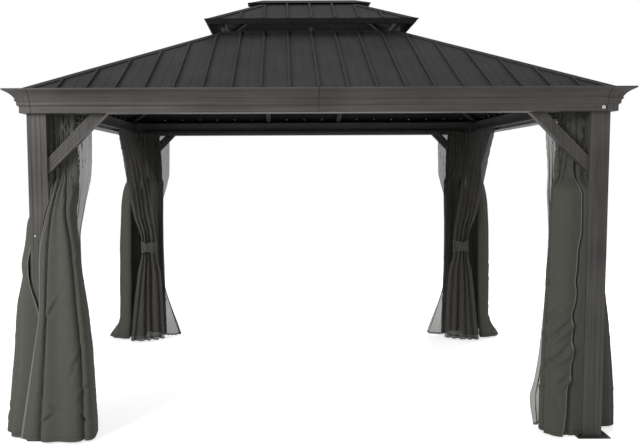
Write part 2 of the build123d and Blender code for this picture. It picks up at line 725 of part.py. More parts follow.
tied_net = [
    span(top, 2.0, 15.8, net_line, net_half),
    (1.05, [(3.0, 1.45, 0.2), (5.8, 1.35, 0.32), (8.6, 1.12, 0.3), (11.4, 1.0, 0.22)]),
    (0.75, [(4.75, 2.9, 0.35), (5.5, 2.3, 0.49), (6.3, 1.75, 0.49), (6.93, 1.3, 0.39)]),
    (waist_high, tied_waist),
    (waist_low, tied_waist),
    (0.406, [(4.1, 5.0, 0.63), (4.5, 3.86, 0.88), (4.74, 2.46, 0.88), (5.26, 1.5, 0.63)]),
    (bottom, [(3.33, 5.26, 0.7), (4.4, 3.77, 0.96), (5.1, 1.93, 0.88), (5.5, 0.18, 0.6)]),
]
flap_net = [
    span(top, 4.0, 6.45, net_line, net_half),
    (1.0, [(4.3, 1.3, 0.16), (5.0, 1.3, 0.18), (5.7, 1.25, 0.18), (6.35, 1.2, 0.16)]),
    (0.9375, [(4.4, 1.65, 0.18), (4.95, 1.62, 0.2), (5.5, 1.56, 0.2), (6.05, 1.5, 0.18)]),
    (0.8, [(4.3, 1.8, 0.16), (4.6, 1.8, 0.18), (4.9, 1.76, 0.18), (5.15, 1.7, 0.16)]),
    (0.4, [(4.4, 1.86, 0.16), (4.7, 1.87, 0.18), (5.0, 1.86, 0.18), (5.2, 1.8, 0.16)]),
    (bottom, [(5.2, 1.75, 0.22), (6.2, 1.9, 0.4), (7.3, 1.6, 0.4), (8.0, 0.3, 0.3)]),
]
front_left_net = [
    span(top, 2.6, 5.25, net_line, net_half),
    (1.0625, [(2.8, 1.3, 0.18), (3.6, 1.3, 0.2), (4.4, 1.26, 0.2), (5.15, 1.2, 0.18)]),
    (1.0, [(2.75, 1.5, 0.2), (3.5, 1.5, 0.22), (4.25, 1.45, 0.22), (5.0, 1.35, 0.2)]),
    (0.956, [(2.6, 1.7, 0.2), (3.3, 1.7, 0.22), (4.0, 1.63, 0.22), (4.7, 1.5, 0.2)]),
    (0.866, [(2.3, 1.75, 0.22), (3.0, 1.76, 0.25), (3.6, 1.7, 0.25), (4.14, 1.6, 0.22)]),
    (0.75, [(1.93, 1.85, 0.25), (2.5, 1.9, 0.28), (3.1, 1.86, 0.28), (3.6, 1.75, 0.25)]),
    (bottom, [(1.6, 2.3, 0.32), (2.6, 2.46, 0.35), (3.7, 2.35, 0.35), (4.4, 2.2, 0.3)]),
]
front_right_net = [
    span(top, 3.0, 5.1, net_line, net_half),
    (1.0, [(3.2, 1.4, 0.16), (3.7, 1.39, 0.18), (4.15, 1.34, 0.18), (4.6, 1.25, 0.16)]),
    (0.93, [(3.0, 1.62, 0.18), (3.55, 1.62, 0.2), (4.05, 1.56, 0.2), (4.55, 1.45, 0.18)]),
    (0.75, [(2.1, 1.78, 0.22), (2.9, 1.83, 0.25), (3.6, 1.79, 0.25), (4.2, 1.7, 0.22)]),
    (0.193, [(2.1, 2.04, 0.22), (3.1, 2.15, 0.25), (4.1, 2.1, 0.25), (4.8, 1.95, 0.2)]),
    (bottom, [(2.1, 2.15, 0.25), (3.33, 2.3, 0.28), (4.56, 2.2, 0.28), (5.6, 2.0, 0.25)]),
]


def outline(plan, corner, on_side, grow=0.0):
    """The outline of a level at a corner of the gazebo: a bent strip, grown by a margin."""
    middles = [Vector(along, inwards) for along, inwards, _ in plan]
    halves = [half + grow for _, _, half in plan]
    steps = [(ahead - behind).normalized() for behind, ahead in zip(middles, middles[1:])]
    middles[0] -= steps[0] * grow
    middles[-1] += steps[-1] * grow
    bends = [steps[0]] + [(before + after).normalized() for before, after in zip(steps, steps[1:])] + [steps[-1]]
    offsets = [Vector(-bend.Y, bend.X) * half for bend, half in zip(bends, halves)]
    outer = [point + offset for point, offset in zip(middles, offsets)]
    inner = [point - offset for point, offset in zip(middles, offsets)]
    places = [(point.Y, point.X) if on_side else (point.X, point.Y) for point in outer + inner[::-1]]
    return [(corner[0] * (post_x - u * cloth_unit), corner[1] * (post_y - v * cloth_unit)) for u, v in places]


def hang(levels, corner, on_side):
    """Lofts one fall of cloth at a corner, level by level."""
    with BuildPart() as fall:
        for upper, lower in zip(levels, levels[1:]):
            for height, plan in (lower, upper):
                with BuildSketch(Plane.XY.offset(height * brace_foot)):
                    with BuildLine():
                        Polyline(outline(plan, corner, on_side), close=True)
                    make_face()
            loft(ruled=True)
    return fall


falls = {
    "curtain_front_left": [(front_left_front, False), (front_left_side, True)],
    "curtain_front_right": [(front_right_front, False), (front_right_side, True)],
    "curtain_rear_left": [(rear_rear, False), (rear_side, True)],
    "curtain_rear_right": [(rear_rear, False), (rear_side, True)],
    "net_front_left": [(front_left_net, False)],
    "net_front_right": [(front_right_net, False)],
    "net_rear_left": [(tied_net, True), (flap_net, False)],
    "net_rear_right": [(tied_net, True), (flap_net, False)],
}
for name, hangings in falls.items():
    corner = (-1 if name.endswith("left") else 1, -1 if "front" in name else 1)
    with BuildPart() as cloth:
        for levels, on_side in hangings:
            add(hang(levels, corner, on_side).part)
    write(cloth, name)

# Tie bands round the waists of the rear nets
with BuildPart() as tie_bands:
    for way in (-1, 1):
        for margin in (touch_gap + band_thickness, touch_gap):
            with BuildSketch(Plane.XY.offset(waist_low * brace_foot)):
                with BuildLine():
                    Polyline(outline(tied_waist, (way, 1), True, margin / cloth_unit), close=True)
                make_face()
            extrude(amount=band_width, mode=Mode.SUBTRACT if margin == touch_gap else Mode.ADD)
write(tie_bands, "tie_bands")
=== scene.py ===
import json
import math

import bmesh
import bpy
import numpy as np
from mathutils import Matrix, Vector, noise
from mathutils.bvhtree import BVHTree


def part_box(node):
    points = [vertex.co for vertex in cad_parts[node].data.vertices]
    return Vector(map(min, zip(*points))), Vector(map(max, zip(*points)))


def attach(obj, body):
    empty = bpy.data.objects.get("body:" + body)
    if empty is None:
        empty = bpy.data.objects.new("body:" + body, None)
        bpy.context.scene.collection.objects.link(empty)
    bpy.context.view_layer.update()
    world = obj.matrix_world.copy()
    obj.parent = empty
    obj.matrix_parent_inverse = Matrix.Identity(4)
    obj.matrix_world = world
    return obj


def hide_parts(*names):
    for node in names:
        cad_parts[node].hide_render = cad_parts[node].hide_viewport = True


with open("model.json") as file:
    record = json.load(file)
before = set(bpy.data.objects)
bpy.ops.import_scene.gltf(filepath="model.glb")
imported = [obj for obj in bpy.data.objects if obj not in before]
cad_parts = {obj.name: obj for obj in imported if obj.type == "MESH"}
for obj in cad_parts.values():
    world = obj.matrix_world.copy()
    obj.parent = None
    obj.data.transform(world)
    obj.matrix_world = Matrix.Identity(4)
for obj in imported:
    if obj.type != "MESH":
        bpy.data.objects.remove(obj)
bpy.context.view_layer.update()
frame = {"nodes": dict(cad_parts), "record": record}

# Colours, as they show
WARM_GREY = (0.29, 0.28, 0.272)
CHARCOAL = (0.186, 0.181, 0.181)
DARK_STEEL = (0.11, 0.108, 0.105)
CLOTH_GREY = (0.325, 0.327, 0.303)
# The curtains' hem grey is lighter than their cloth: a painted highlight where the edge catches the
# light
HEM_HIGHLIGHT_GREY = (0.47, 0.47, 0.45)
NET_GREY = (0.34, 0.332, 0.325)
SCREW_WHITE = (0.85, 0.85, 0.83)
# Black for painted shade: in the open holes and in the rings round the bolt caps
SHADE_BLACK = (0.03, 0.03, 0.03)
FLOOR_WHITE = (0.93, 0.93, 0.925)

# Pale dust, in linear values, and how much the streaks change a coat's roughness
DUST = (0.42, 0.41, 0.39, 1.0)
ROUGHNESS_SWING = 0.1

# Dust, roughness and bump strength of the coats, and the dull sheen of the roof sheets
METAL_COAT = (0.05, 0.55, 0.15)
SHEET_COAT = (0.03, 0.75, 0.2)
SHEET_SHEEN = 0.08

# Depth of the bump in a coat and in a cloth, in metres
PEEL_DEPTH = 0.0006
THREAD_DEPTH = 0.0004

# A hem's stitches (half height in metres, and how much darker) and the yarn's unevenness
STITCH_HALF = 0.0015
STITCH_SHADE = 0.35
SLUB_STRETCH = (35.0, 420.0, 1.0)

# A Mix node's sockets when it mixes colours
MIX_FACTOR, MIX_UNDER, MIX_OVER, MIX_RESULT = 0, 6, 7, 2

# Directions in which metal was drawn: noise hardly changes along them
UPRIGHT = (1.0, 1.0, 0.02)
ALONG_X = (0.02, 1.0, 1.0)
ALONG_Y = (1.0, 0.02, 1.0)
SLOPE_X = (0.02, 1.0, 0.02)
SLOPE_Y = (1.0, 0.02, 0.02)


def linear(colour):
    """Turns a colour as it shows on a screen into the linear values that a shader takes."""
    channels = [c / 12.92 if c <= 0.04045 else ((c + 0.055) / 1.055) ** 2.4 for c in colour]
    return (*channels, 1.0)


def add_object(name, data):
    """A new object in the scene for a mesh, a lamp or a camera."""
    made = bpy.data.objects.new(name, data)
    bpy.context.scene.collection.objects.link(made)
    return made


def group_tree(name, inputs, outputs):
    """A shader node group with named sockets, and its two end nodes."""
    tree = bpy.data.node_groups.new(name, "ShaderNodeTree")
    for socket, kind, value in inputs:
        made = tree.interface.new_socket(socket, in_out="INPUT", socket_type=kind)
        made.default_value = value
    for socket, kind in outputs:
        tree.interface.new_socket(socket, in_out="OUTPUT", socket_type=kind)
    return tree, tree.nodes.new("NodeGroupInput"), tree.nodes.new("NodeGroupOutput")


def math_node(tree, operation, first, second=None):
    """A Math node fed by sockets or plain numbers."""
    node = tree.nodes.new("ShaderNodeMath")
    node.operation = operation
    for socket, value in zip(node.inputs, (first, second)):
        if value is None:
            continue
        if isinstance(value, (int, float)):
            socket.default_value = value
        else:
            tree.links.new(value, socket)
    return node.outputs[0]


def noise_node(tree, place, scale, detail, stretch=(1.0, 1.0, 1.0)):
    """A noise texture over the object's own coordinates, stretched along its axes."""
    mapping = tree.nodes.new("ShaderNodeMapping")
    if isinstance(stretch, tuple):
        mapping.inputs["Scale"].default_value = stretch
    else:
        tree.links.new(stretch, mapping.inputs["Scale"])
    tree.links.new(place, mapping.inputs["Vector"])
    texture = tree.nodes.new("ShaderNodeTexNoise")
    tree.links.new(mapping.outputs[0], texture.inputs["Vector"])
    texture.inputs["Scale"].default_value = scale
    texture.inputs["Detail"].default_value = detail
    return texture.outputs["Fac"]


def shaded(tree, colour, shade):
    """A colour made lighter or darker by a factor."""
    node = tree.nodes.new("ShaderNodeVectorMath")
    node.operation = "SCALE"
    tree.links.new(colour, node.inputs[0])
    tree.links.new(shade, node.inputs["Scale"])
    return node.outputs[0]


def add_bump(tree, shader, height, strength, distance):
    """Roughens a shader's surface by a height."""
    node = tree.nodes.new("ShaderNodeBump")
    node.inputs["Strength"].default_value = strength
    node.inputs["Distance"].default_value = distance
    tree.links.new(height, node.inputs["Height"])
    tree.links.new(node.outputs[0], shader.inputs["Normal"])


def powder_coat_group():
    """Powder coat: orange peel, faint streaks along the metal and pale dust on what faces up."""
    tree, start, end = group_tree(
        "powder_coat",
        [
            ("Colour", "NodeSocketColor", (0.1, 0.1, 0.1, 1.0)),
            ("Mottle", "NodeSocketFloat", 0.12),
            ("Dust", "NodeSocketFloat", 0.1),
            ("Roughness", "NodeSocketFloat", 0.5),
            ("Grain", "NodeSocketVector", UPRIGHT),
        ],
        [
            ("Colour", "NodeSocketColor"),
            ("Roughness", "NodeSocketFloat"),
            ("Height", "NodeSocketFloat"),
        ],
    )
    place = tree.nodes.new("ShaderNodeTexCoord").outputs["Object"]
    broad = noise_node(tree, place, 3.1, 3.0)
    streak = noise_node(tree, place, 90.0, 3.0, start.outputs["Grain"])
    peel = noise_node(tree, place, 900.0, 2.0)
    swing = math_node(tree, "SUBTRACT", math_node(tree, "ADD", broad, streak), 1.0)
    mottled = math_node(tree, "MULTIPLY", swing, start.outputs["Mottle"])
    shade = math_node(tree, "ADD", mottled, 1.0)
    coloured = shaded(tree, start.outputs["Colour"], shade)
    facing = tree.nodes.new("ShaderNodeSeparateXYZ")
    tree.links.new(tree.nodes.new("ShaderNodeNewGeometry").outputs["Normal"], facing.inputs[0])
    upward = math_node(tree, "MAXIMUM", facing.outputs["Z"], 0.0)
    patches = math_node(tree, "MULTIPLY", upward, broad)
    dust = math_node(tree, "MULTIPLY", patches, start.outputs["Dust"])
    mix = tree.nodes.new("ShaderNodeMix")
    mix.data_type = "RGBA"
    tree.links.new(dust, mix.inputs[MIX_FACTOR])
    tree.links.new(coloured, mix.inputs[MIX_UNDER])
    mix.inputs[MIX_OVER].default_value = DUST
    tree.links.new(mix.outputs[MIX_RESULT], end.inputs["Colour"])
    uneven = math_node(tree, "MULTIPLY", swing, ROUGHNESS_SWING)
    rough = math_node(tree, "ADD", start.outputs["Roughness"], uneven)
    tree.links.new(rough, end.inputs["Roughness"])
    tree.links.new(peel, end.inputs["Height"])
    return tree


def new_material(name):
    """An empty material with its Principled shader wired to the output."""
    material = bpy.data.materials.new(name)
    material.use_nodes = True
    material.node_tree.nodes.clear()
    shader = material.node_tree.nodes.new("ShaderNodeBsdfPrincipled")
    output = material.node_tree.nodes.new("ShaderNodeOutputMaterial")
    material.node_tree.links.new(shader.outputs[0], output.inputs["Surface"])
    return material, material.node_tree, shader


powder_coat = powder_coat_group()


def coated_metal(name, colour, mottle, dust, roughness, bump, grain, sheen=0.3):
    """A powder-coated metal; a low sheen keeps a rough coat dark at a shallow angle."""
    material, tree, shader = new_material(name)
    coat = tree.nodes.new("ShaderNodeGroup")
    coat.node_tree = powder_coat
    coat.inputs["Colour"].default_value = linear(colour)
    coat.inputs["Mottle"].default_value = mottle
    coat.inputs["Dust"].default_value = dust
    coat.inputs["Roughness"].default_value = roughness
    coat.inputs["Grain"].default_value = grain
    tree.links.new(coat.outputs["Colour"], shader.inputs["Base Color"])
    tree.links.new(coat.outputs["Roughness"], shader.inputs["Roughness"])
    shader.inputs["Specular IOR Level"].default_value = sheen
    add_bump(tree, shader, coat.outputs["Height"], bump, PEEL_DEPTH)
    return material


# Each paint: its name, colour, mottle, dust, roughness, bump strength, grain and sheen
post_paint = coated_metal("post_paint", WARM_GREY, 1.3, *METAL_COAT, UPRIGHT)
long_paint = coated_metal("long_paint", WARM_GREY, 1.1, *METAL_COAT, ALONG_X)
side_paint = coated_metal("side_paint", WARM_GREY, 1.1, *METAL_COAT, ALONG_Y)
front_sheet_paint = coated_metal(
    "front_sheet_paint", CHARCOAL, 0.9, *SHEET_COAT, SLOPE_Y, SHEET_SHEEN
)
side_sheet_paint = coated_metal(
    "side_sheet_paint", CHARCOAL, 0.9, *SHEET_COAT, SLOPE_X, SHEET_SHEEN
)
plate_paint = coated_metal("plate_paint", DARK_STEEL, 0.3, 0.1, 0.5, 0.2, UPRIGHT)

SLOT_PAINT = {
    "frame_metal": post_paint,
    "roof_metal": front_sheet_paint,
    "plate_metal": plate_paint,
    "rail_metal": plate_paint,
    "curtain_fabric": post_paint,
    "net_fabric": plate_paint,
}
LONG_PIECES = (
    "beam_front", "beam_rear", "crown_front_left", "crown_front_right", "crown_rear_left",
    "crown_rear_right", "ridge_bar",
)
SIDE_PIECES = ("beam_left", "beam_right", "crown_left", "crown_right")
SIDE_SHEETS = ("roof_lower_left", "roof_lower_right", "roof_upper_left", "roof_upper_right")
NODE_PAINT = {
    **dict.fromkeys(LONG_PIECES, long_paint),
    **dict.fromkeys(SIDE_PIECES, side_paint),
    **dict.fromkeys(SIDE_SHEETS, side_sheet_paint),
}
for part in frame["record"]["subparts"]:
    piece = frame["nodes"][part["node"]]
    piece.data.materials.clear()
    paint = NODE_PAINT.get(part["node"], SLOT_PAINT[part["material_slot"]])
    piece.data.materials.append(paint)

# The photograph's camera: place in metres, the focal length and the shift in pixels, and the
# sensor's width in millimetres
CAMERA_PLACE = Vector((-0.2245, -5.6906, 1.6278))
CAMERA_YAW = math.radians(0.0465)
CAMERA_PITCH = math.radians(4.2266)
CAMERA_ROLL = math.radians(-0.2334)
FRAME_WIDTH = 640
FOCAL_PIXELS = 718.4
CENTRE_SHIFT = -38.48
SENSOR = 36.0
VIEW_DEPTH = 200.0

# Half the floor's width in metres, its glow as the camera sees it, and the studio's soft light
FLOOR_HALF = 40.0
FLOOR_GLOW = 0.68
STUDIO_LIGHT = 0.4


def make_camera():
    """The camera where the photograph was taken, level but for a small pitch and roll."""
    forward = Vector((
        math.sin(CAMERA_YAW) * math.cos(CAMERA_PITCH),
        math.cos(CAMERA_YAW) * math.cos(CAMERA_PITCH),
        -math.sin(CAMERA_PITCH),
    ))
    right = Vector((math.cos(CAMERA_YAW), -math.sin(CAMERA_YAW), 0.0))
    up = right.cross(forward)
    rolled_right = math.cos(CAMERA_ROLL) * right + math.sin(CAMERA_ROLL) * up
    rolled_up = -math.sin(CAMERA_ROLL) * right + math.cos(CAMERA_ROLL) * up
    data = bpy.data.cameras.new("photo_camera")
    data.sensor_width = SENSOR
    data.lens = FOCAL_PIXELS * SENSOR / FRAME_WIDTH
    data.shift_x = -CENTRE_SHIFT / FRAME_WIDTH
    data.clip_end = VIEW_DEPTH
    camera = add_object("photo_camera", data)
    turn = Matrix((rolled_right, rolled_up, -forward)).transposed().to_4x4()
    camera.matrix_world = Matrix.Translation(CAMERA_PLACE) @ turn
    bpy.context.scene.camera = camera


def seen_directly(tree):
    """One where a ray comes from the camera, a reflection or clear glass, and else nothing."""
    rays = tree.nodes.new("ShaderNodeLightPath").outputs
    indirect = math_node(tree, "MAXIMUM", rays["Is Glossy Ray"], rays["Is Transmission Ray"])
    return math_node(tree, "MAXIMUM", rays["Is Camera Ray"], indirect)


def make_stage():
    """A plain white floor that keeps a soft shadow, in a white studio with dim soft light."""
    half = FLOOR_HALF
    corners = [(-half, -half, 0), (half, -half, 0), (half, half, 0), (-half, half, 0)]
    mesh = bpy.data.meshes.new("floor")
    mesh.from_pydata(corners, [], [(0, 1, 2, 3)])
    floor = add_object("floor", mesh)
    material, tree, shader = new_material("floor_white")
    shader.inputs["Base Color"].default_value = linear(FLOOR_WHITE)
    shader.inputs["Roughness"].default_value = 0.9
    shader.inputs["Specular IOR Level"].default_value = 0.0
    shader.inputs["Emission Color"].default_value = (1.0, 1.0, 1.0, 1.0)
    glow = math_node(tree, "MULTIPLY", seen_directly(tree), FLOOR_GLOW)
    tree.links.new(glow, shader.inputs["Emission Strength"])
    mesh.materials.append(material)
    world = bpy.data.worlds.new("studio")
    world.use_nodes = True
    tree = world.node_tree
    background = tree.nodes["Background"]
    background.inputs["Color"].default_value = (1.0, 1.0, 1.0, 1.0)
    lift = math_node(tree, "MULTIPLY", seen_directly(tree), 1.0 - STUDIO_LIGHT)
    tree.links.new(math_node(tree, "ADD", lift, STUDIO_LIGHT), background.inputs["Strength"])
    bpy.context.scene.world = world


def area_light(name, place, target, size, watts):
    """A soft lamp that faces a point; its size is (width, height) in metres."""
    data = bpy.data.lights.new(name, "AREA")
    data.shape = "RECTANGLE"
    data.size, data.size_y = size
    data.energy = watts
    lamp = add_object(name, data)
    aim = (Vector(target) - Vector(place)).to_track_quat("-Z", "Y")
    lamp.matrix_world = Matrix.Translation(Vector(place)) @ aim.to_matrix().to_4x4()


# Places read from the frame
post_low, post_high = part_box("post_front_right")
POST_HALF = (post_high[0] - post_low[0]) / 2
POST_X = (post_high[0] + post_low[0]) / 2
POST_Y = -(post_high[1] + post_low[1]) / 2
CLOTH_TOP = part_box("curtain_front_left")[1][2]
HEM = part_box("curtain_front_left")[0][2]
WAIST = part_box("tie_bands")

# The braces' foot, which the cloth's heights are shares of, just under the braces' lowest point
FOOT_DROP = 0.007
BRACE_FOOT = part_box("braces_front_left")[0][2] - FOOT_DROP
WAIST_LOW = WAIST[0][2] / BRACE_FOOT
WAIST_HIGH = WAIST[1][2] / BRACE_FOOT
TOP = CLOTH_TOP / BRACE_FOOT
BOTTOM = HEM / BRACE_FOOT

# How far inwards curtains and nets hang and half their depth there, in half post widths
CURTAIN_LINE = 0.64
CURTAIN_HALF = 0.17
BEHIND_HALF = 0.36
NET_LINE = 1.08
NET_HALF = 0.16

# Where a level's four points lie across a cloth
THIRDS = [0, 1 / 3, 2 / 3, 1]

# Rows and columns of a cloth's mesh
FRONT_MESH = (200, 160)
PLAIN_MESH = (120, 130)

# Folds, as shares of a cloth's way across where nothing else is said: width of the turn of a
# doubled cloth, power that rounds a fold, depth of the heading's pleats, number and depth of
# the creases on the hidden face, depth of the creases at both edges
TURN_WIDTH = 0.06
FOLD_POWER = 2.2
HEADING_DEPTH = 1.1
HIDDEN_CREASES = (3, 0.5)
EDGE_CREASE = 0.4

# How unevenly the pleats settle, how far and how fast a crease sways on its way down, and how
# the face behind comes in where the outer face hasn't started
STAGGER = 0.12
STAGGER_STEPS = 40
SWAY = 0.012
SWAY_TURNS = 0.7
BARE_BLEND = 0.06
BARE_DEPTH = 0.7
SIDESTEP = 0.01

# Wrinkles in metres: how far down the heading's gathers reach, how far the rail holds the
# cloth flat, and depths of the gathers and of the buckles in a curtain and a net
HEADING_REACH = 0.34
RAIL_REACH = 0.05
GATHER = 0.003
CURTAIN_BUCKLE = 0.006
NET_BUCKLE = 0.004

# Widths of the sharp creases in the noise, how much they crumple below and in the heading, and
# the shares of soft slants and of sharp creases in a buckle
FOLD_WIDTH = 0.16
CROSS_WIDTH = 0.13
CRUMPLE_BELOW = 0.25
CRUMPLE_HEADING = 1.5
SLANT_SHARE = 0.6
CRUMPLE_SHARE = 0.9

# The hollow beside a drag's ridge: its depth as a share, and its distance in widths
HOLLOW_DEPTH = 0.8
HOLLOW_AWAY = 1.6

# Faces across a hem
HEM_FACES = 2


def span(height, start, end, line, half):
    """A straight level of a fall: four points spread along the rail."""
    step = (end - start) / 3
    return (height, [(start + k * step, line, half) for k in range(4)])


def hung(rail, behind, *levels):
    """The levels of a fall that hangs on its rail and passes behind a brace."""
    return [
        span(TOP, *rail, CURTAIN_LINE, CURTAIN_HALF),
        span(1.0, *behind, CURTAIN_LINE, BEHIND_HALF),
        *levels,
    ]


# Each level of a fall: its height as a share of the braces' foot, and four points in plan as
# (along the rail, inwards, half depth), in half post widths from the post's centre.
FRONT_LEFT_FRONT = hung(
    (1.06, 3.6), (1.1, 3.85),
    (0.9375, [(1.3, -1.0, 0.13), (1.9, -0.88, 0.36), (3.15, -0.35, 0.48), (3.7, 0.7, 0.42)]),
    (0.866, [(0.75, -1.27, 0.15), (1.6, -1.26, 0.3), (2.9, -0.85, 0.42), (3.45, 0.6, 0.38)]),
    (0.704, [(0.05, -1.3, 0.18), (1.3, -1.4, 0.36), (3.25, -1.1, 0.5), (3.65, 0.7, 0.42)]),
    (0.5, [(-0.1, -1.4, 0.2), (1.1, -1.6, 0.5), (3.75, -1.35, 0.56), (4.3, 0.85, 0.42)]),
    (0.33, [(-0.85, -1.42, 0.23), (1.05, -1.74, 0.6), (4.15, -1.53, 0.6), (4.75, 0.96, 0.42)]),
    (BOTTOM, [(-2.4, -1.4, 0.25), (1.0, -2.05, 0.72), (4.5, -1.85, 0.75), (5.0, 1.2, 0.5)]),
)
FRONT_LEFT_SIDE = hung(
    (1.3, 5.8), (1.35, 5.7),
    (0.96, [(1.4, 0.1, 0.3), (2.6, 0.0, 0.36), (4.0, 0.1, 0.4), (5.5, 0.5, 0.4)]),
    (0.92, [(1.42, -0.25, 0.25), (2.45, -0.5, 0.35), (4.0, -0.2, 0.45), (5.3, 0.5, 0.42)]),
    (0.8125, [(1.25, -1.2, 0.17), (2.0, -1.95, 0.38), (3.5, -1.5, 0.53), (5.1, 0.2, 0.5)]),
    (0.74, [(0.25, -1.28, 0.15), (1.7, -2.08, 0.4), (3.5, -1.75, 0.6), (5.05, 0.0, 0.54)]),
    (0.67, [(-0.8, -1.28, 0.14), (1.0, -2.22, 0.42), (3.3, -2.1, 0.64), (4.98, -0.25, 0.58)]),
    (0.59, [(-1.2, -1.0, 0.14), (-0.5, -1.75, 0.36), (2.8, -2.45, 0.7), (4.9, -0.5, 0.63)]),
    (0.5, [(-1.26, -0.3, 0.14), (-1.05, -1.7, 0.4), (2.6, -2.95, 0.74), (4.8, -0.85, 0.66)]),
    (0.356, [(-1.27, 0.2, 0.14), (-1.1, -1.8, 0.45), (2.4, -3.2, 0.8), (4.7, -1.05, 0.7)]),
    (BOTTOM, [(-1.3, -1.0, 0.18), (-0.6, -3.4, 0.5), (2.4, -4.1, 0.95), (4.5, -1.6, 0.8)]),
)
FRONT_RIGHT_FRONT = hung(
    (1.06, 3.75), (1.1, 4.1),
    (0.935, [(1.1, -0.8, 0.14), (2.63, -0.74, 0.39), (3.86, -0.05, 0.5), (4.12, 1.0, 0.33)]),
    (0.552, [(1.1, -0.88, 0.14), (2.9, -0.9, 0.42), (4.07, -0.18, 0.56), (4.35, 1.26, 0.42)]),
    (0.2775, [(1.1, -0.88, 0.14), (3.07, -1.1, 0.46), (4.3, -0.35, 0.6), (4.6, 1.4, 0.46)]),
    (BOTTOM, [(1.1, -0.91, 0.14), (3.33, -1.32, 0.53), (4.4, -0.53, 0.6), (4.65, 1.5, 0.5)]),
)
FRONT_RIGHT_SIDE = hung(
    (1.3, 5.26), (1.35, 5.25),
    (0.96, [(1.4, 0.15, 0.3), (2.5, 0.05, 0.36), (3.8, 0.15, 0.4), (5.1, 0.5, 0.38)]),
    (0.92, [(1.4, -0.05, 0.22), (2.28, -0.38, 0.35), (3.7, -0.2, 0.42), (4.9, 0.42, 0.39)]),
    (0.636, [(1.4, -0.7, 0.21), (2.0, -1.72, 0.46), (3.5, -1.4, 0.6), (4.74, 0.0, 0.53)]),
    (0.144, [(1.5, -1.12, 0.25), (1.96, -3.25, 0.49), (3.7, -2.9, 0.79), (4.74, -0.7, 0.61)]),
    (BOTTOM, [(1.47, -1.16, 0.25), (1.86, -3.37, 0.46), (3.77, -3.07, 0.84), (4.9, -0.88, 0.67)]),
)
REAR_REAR = hung(
    (1.06, 4.75), (1.1, 5.0),
    (0.9375, [(1.25, -1.0, 0.13), (2.9, -0.6, 0.39), (4.65, 0.15, 0.5), (4.95, 1.0, 0.33)]),
    (0.866, [(0.75, -1.3, 0.13), (2.9, -0.72, 0.4), (4.6, 0.05, 0.5), (4.9, 1.02, 0.35)]),
    (0.55, [(0.7, -1.3, 0.14), (2.8, -0.8, 0.42), (4.5, -0.1, 0.52), (4.65, 1.09, 0.38)]),
    (BOTTOM, [(0.6, -1.35, 0.16), (3.0, -0.95, 0.46), (4.75, -0.3, 0.56), (4.9, 1.2, 0.42)]),
)
REAR_SIDE = hung(
    (1.3, 4.35), (1.35, 4.3),
    (0.925, [(1.4, -0.15, 0.21), (2.2, -0.66, 0.35), (3.33, -0.45, 0.42), (4.2, 0.4, 0.39)]),
    (0.797, [(1.4, -0.85, 0.21), (1.93, -1.4, 0.35), (3.16, -1.0, 0.49), (4.1, 0.3, 0.42)]),
    (0.55, [(1.44, -0.96, 0.21), (1.84, -1.67, 0.39), (3.16, -1.3, 0.56), (4.1, 0.18, 0.46)]),
    (0.156, [(1.47, -1.05, 0.23), (1.93, -1.6, 0.42), (3.16, -1.5, 0.6), (4.1, 0.0, 0.49)]),
    (BOTTOM, [(1.44, -1.23, 0.23), (1.49, -3.95, 0.35), (3.0, -2.63, 0.6), (3.95, -0.35, 0.49)]),
)
TIED_WAIST = [(4.75, 4.47, 0.65), (4.93, 3.7, 0.79), (4.93, 2.9, 0.79), (5.1, 2.14, 0.65)]
TIED_NET = [
    span(TOP, 2.0, 15.8, NET_LINE, NET_HALF),
    (1.05, [(2.9, 2.15, 0.2), (5.6, 1.7, 0.34), (8.6, 1.2, 0.34), (11.4, 1.0, 0.24)]),
    (0.77, [(4.5, 3.75, 0.35), (5.4, 2.8, 0.5), (6.2, 1.9, 0.5), (6.9, 1.3, 0.4)]),
    (WAIST_HIGH, TIED_WAIST),
    (WAIST_LOW, TIED_WAIST),
    (0.406, [(4.1, 5.0, 0.63), (4.5, 3.86, 0.88), (4.74, 2.46, 0.88), (5.26, 1.5, 0.63)]),
    (BOTTOM, [(3.33, 5.26, 0.7), (4.4, 3.77, 0.96), (5.1, 1.93, 0.88), (5.5, 0.18, 0.6)]),
]
FLAP_NET = [
    span(TOP, 4.0, 6.45, NET_LINE, NET_HALF),
    (1.0, [(4.3, 1.3, 0.16), (5.0, 1.3, 0.18), (5.7, 1.25, 0.18), (6.35, 1.2, 0.16)]),
    (0.9375, [(4.4, 1.65, 0.18), (4.95, 1.62, 0.2), (5.5, 1.56, 0.2), (6.05, 1.5, 0.18)]),
    (0.8, [(4.3, 1.8, 0.16), (4.6, 1.8, 0.18), (4.9, 1.76, 0.18), (5.15, 1.7, 0.16)]),
    (0.4, [(4.4, 1.86, 0.16), (4.7, 1.87, 0.18), (5.0, 1.86, 0.18), (5.2, 1.8, 0.16)]),
    (BOTTOM, [(5.2, 1.75, 0.22), (6.2, 1.9, 0.4), (7.3, 1.6, 0.4), (8.0, 0.3, 0.3)]),
]
FRONT_LEFT_NET = [
    span(TOP, 2.6, 5.25, NET_LINE, NET_HALF),
    (1.0625, [(2.8, 1.3, 0.18), (3.6, 1.3, 0.2), (4.4, 1.26, 0.2), (5.15, 1.2, 0.18)]),
    (1.0, [(2.75, 1.5, 0.2), (3.5, 1.5, 0.22), (4.25, 1.45, 0.22), (5.0, 1.35, 0.2)]),
    (0.956, [(2.6, 1.7, 0.2), (3.3, 1.7, 0.22), (4.0, 1.63, 0.22), (4.7, 1.5, 0.2)]),
    (0.866, [(2.3, 1.75, 0.22), (3.0, 1.76, 0.25), (3.6, 1.7, 0.25), (4.14, 1.6, 0.22)]),
    (0.75, [(1.93, 1.85, 0.25), (2.5, 1.9, 0.28), (3.1, 1.86, 0.28), (3.6, 1.75, 0.25)]),
    (BOTTOM, [(1.6, 2.3, 0.32), (2.6, 2.46, 0.35), (3.7, 2.35, 0.35), (4.4, 2.2, 0.3)]),
]
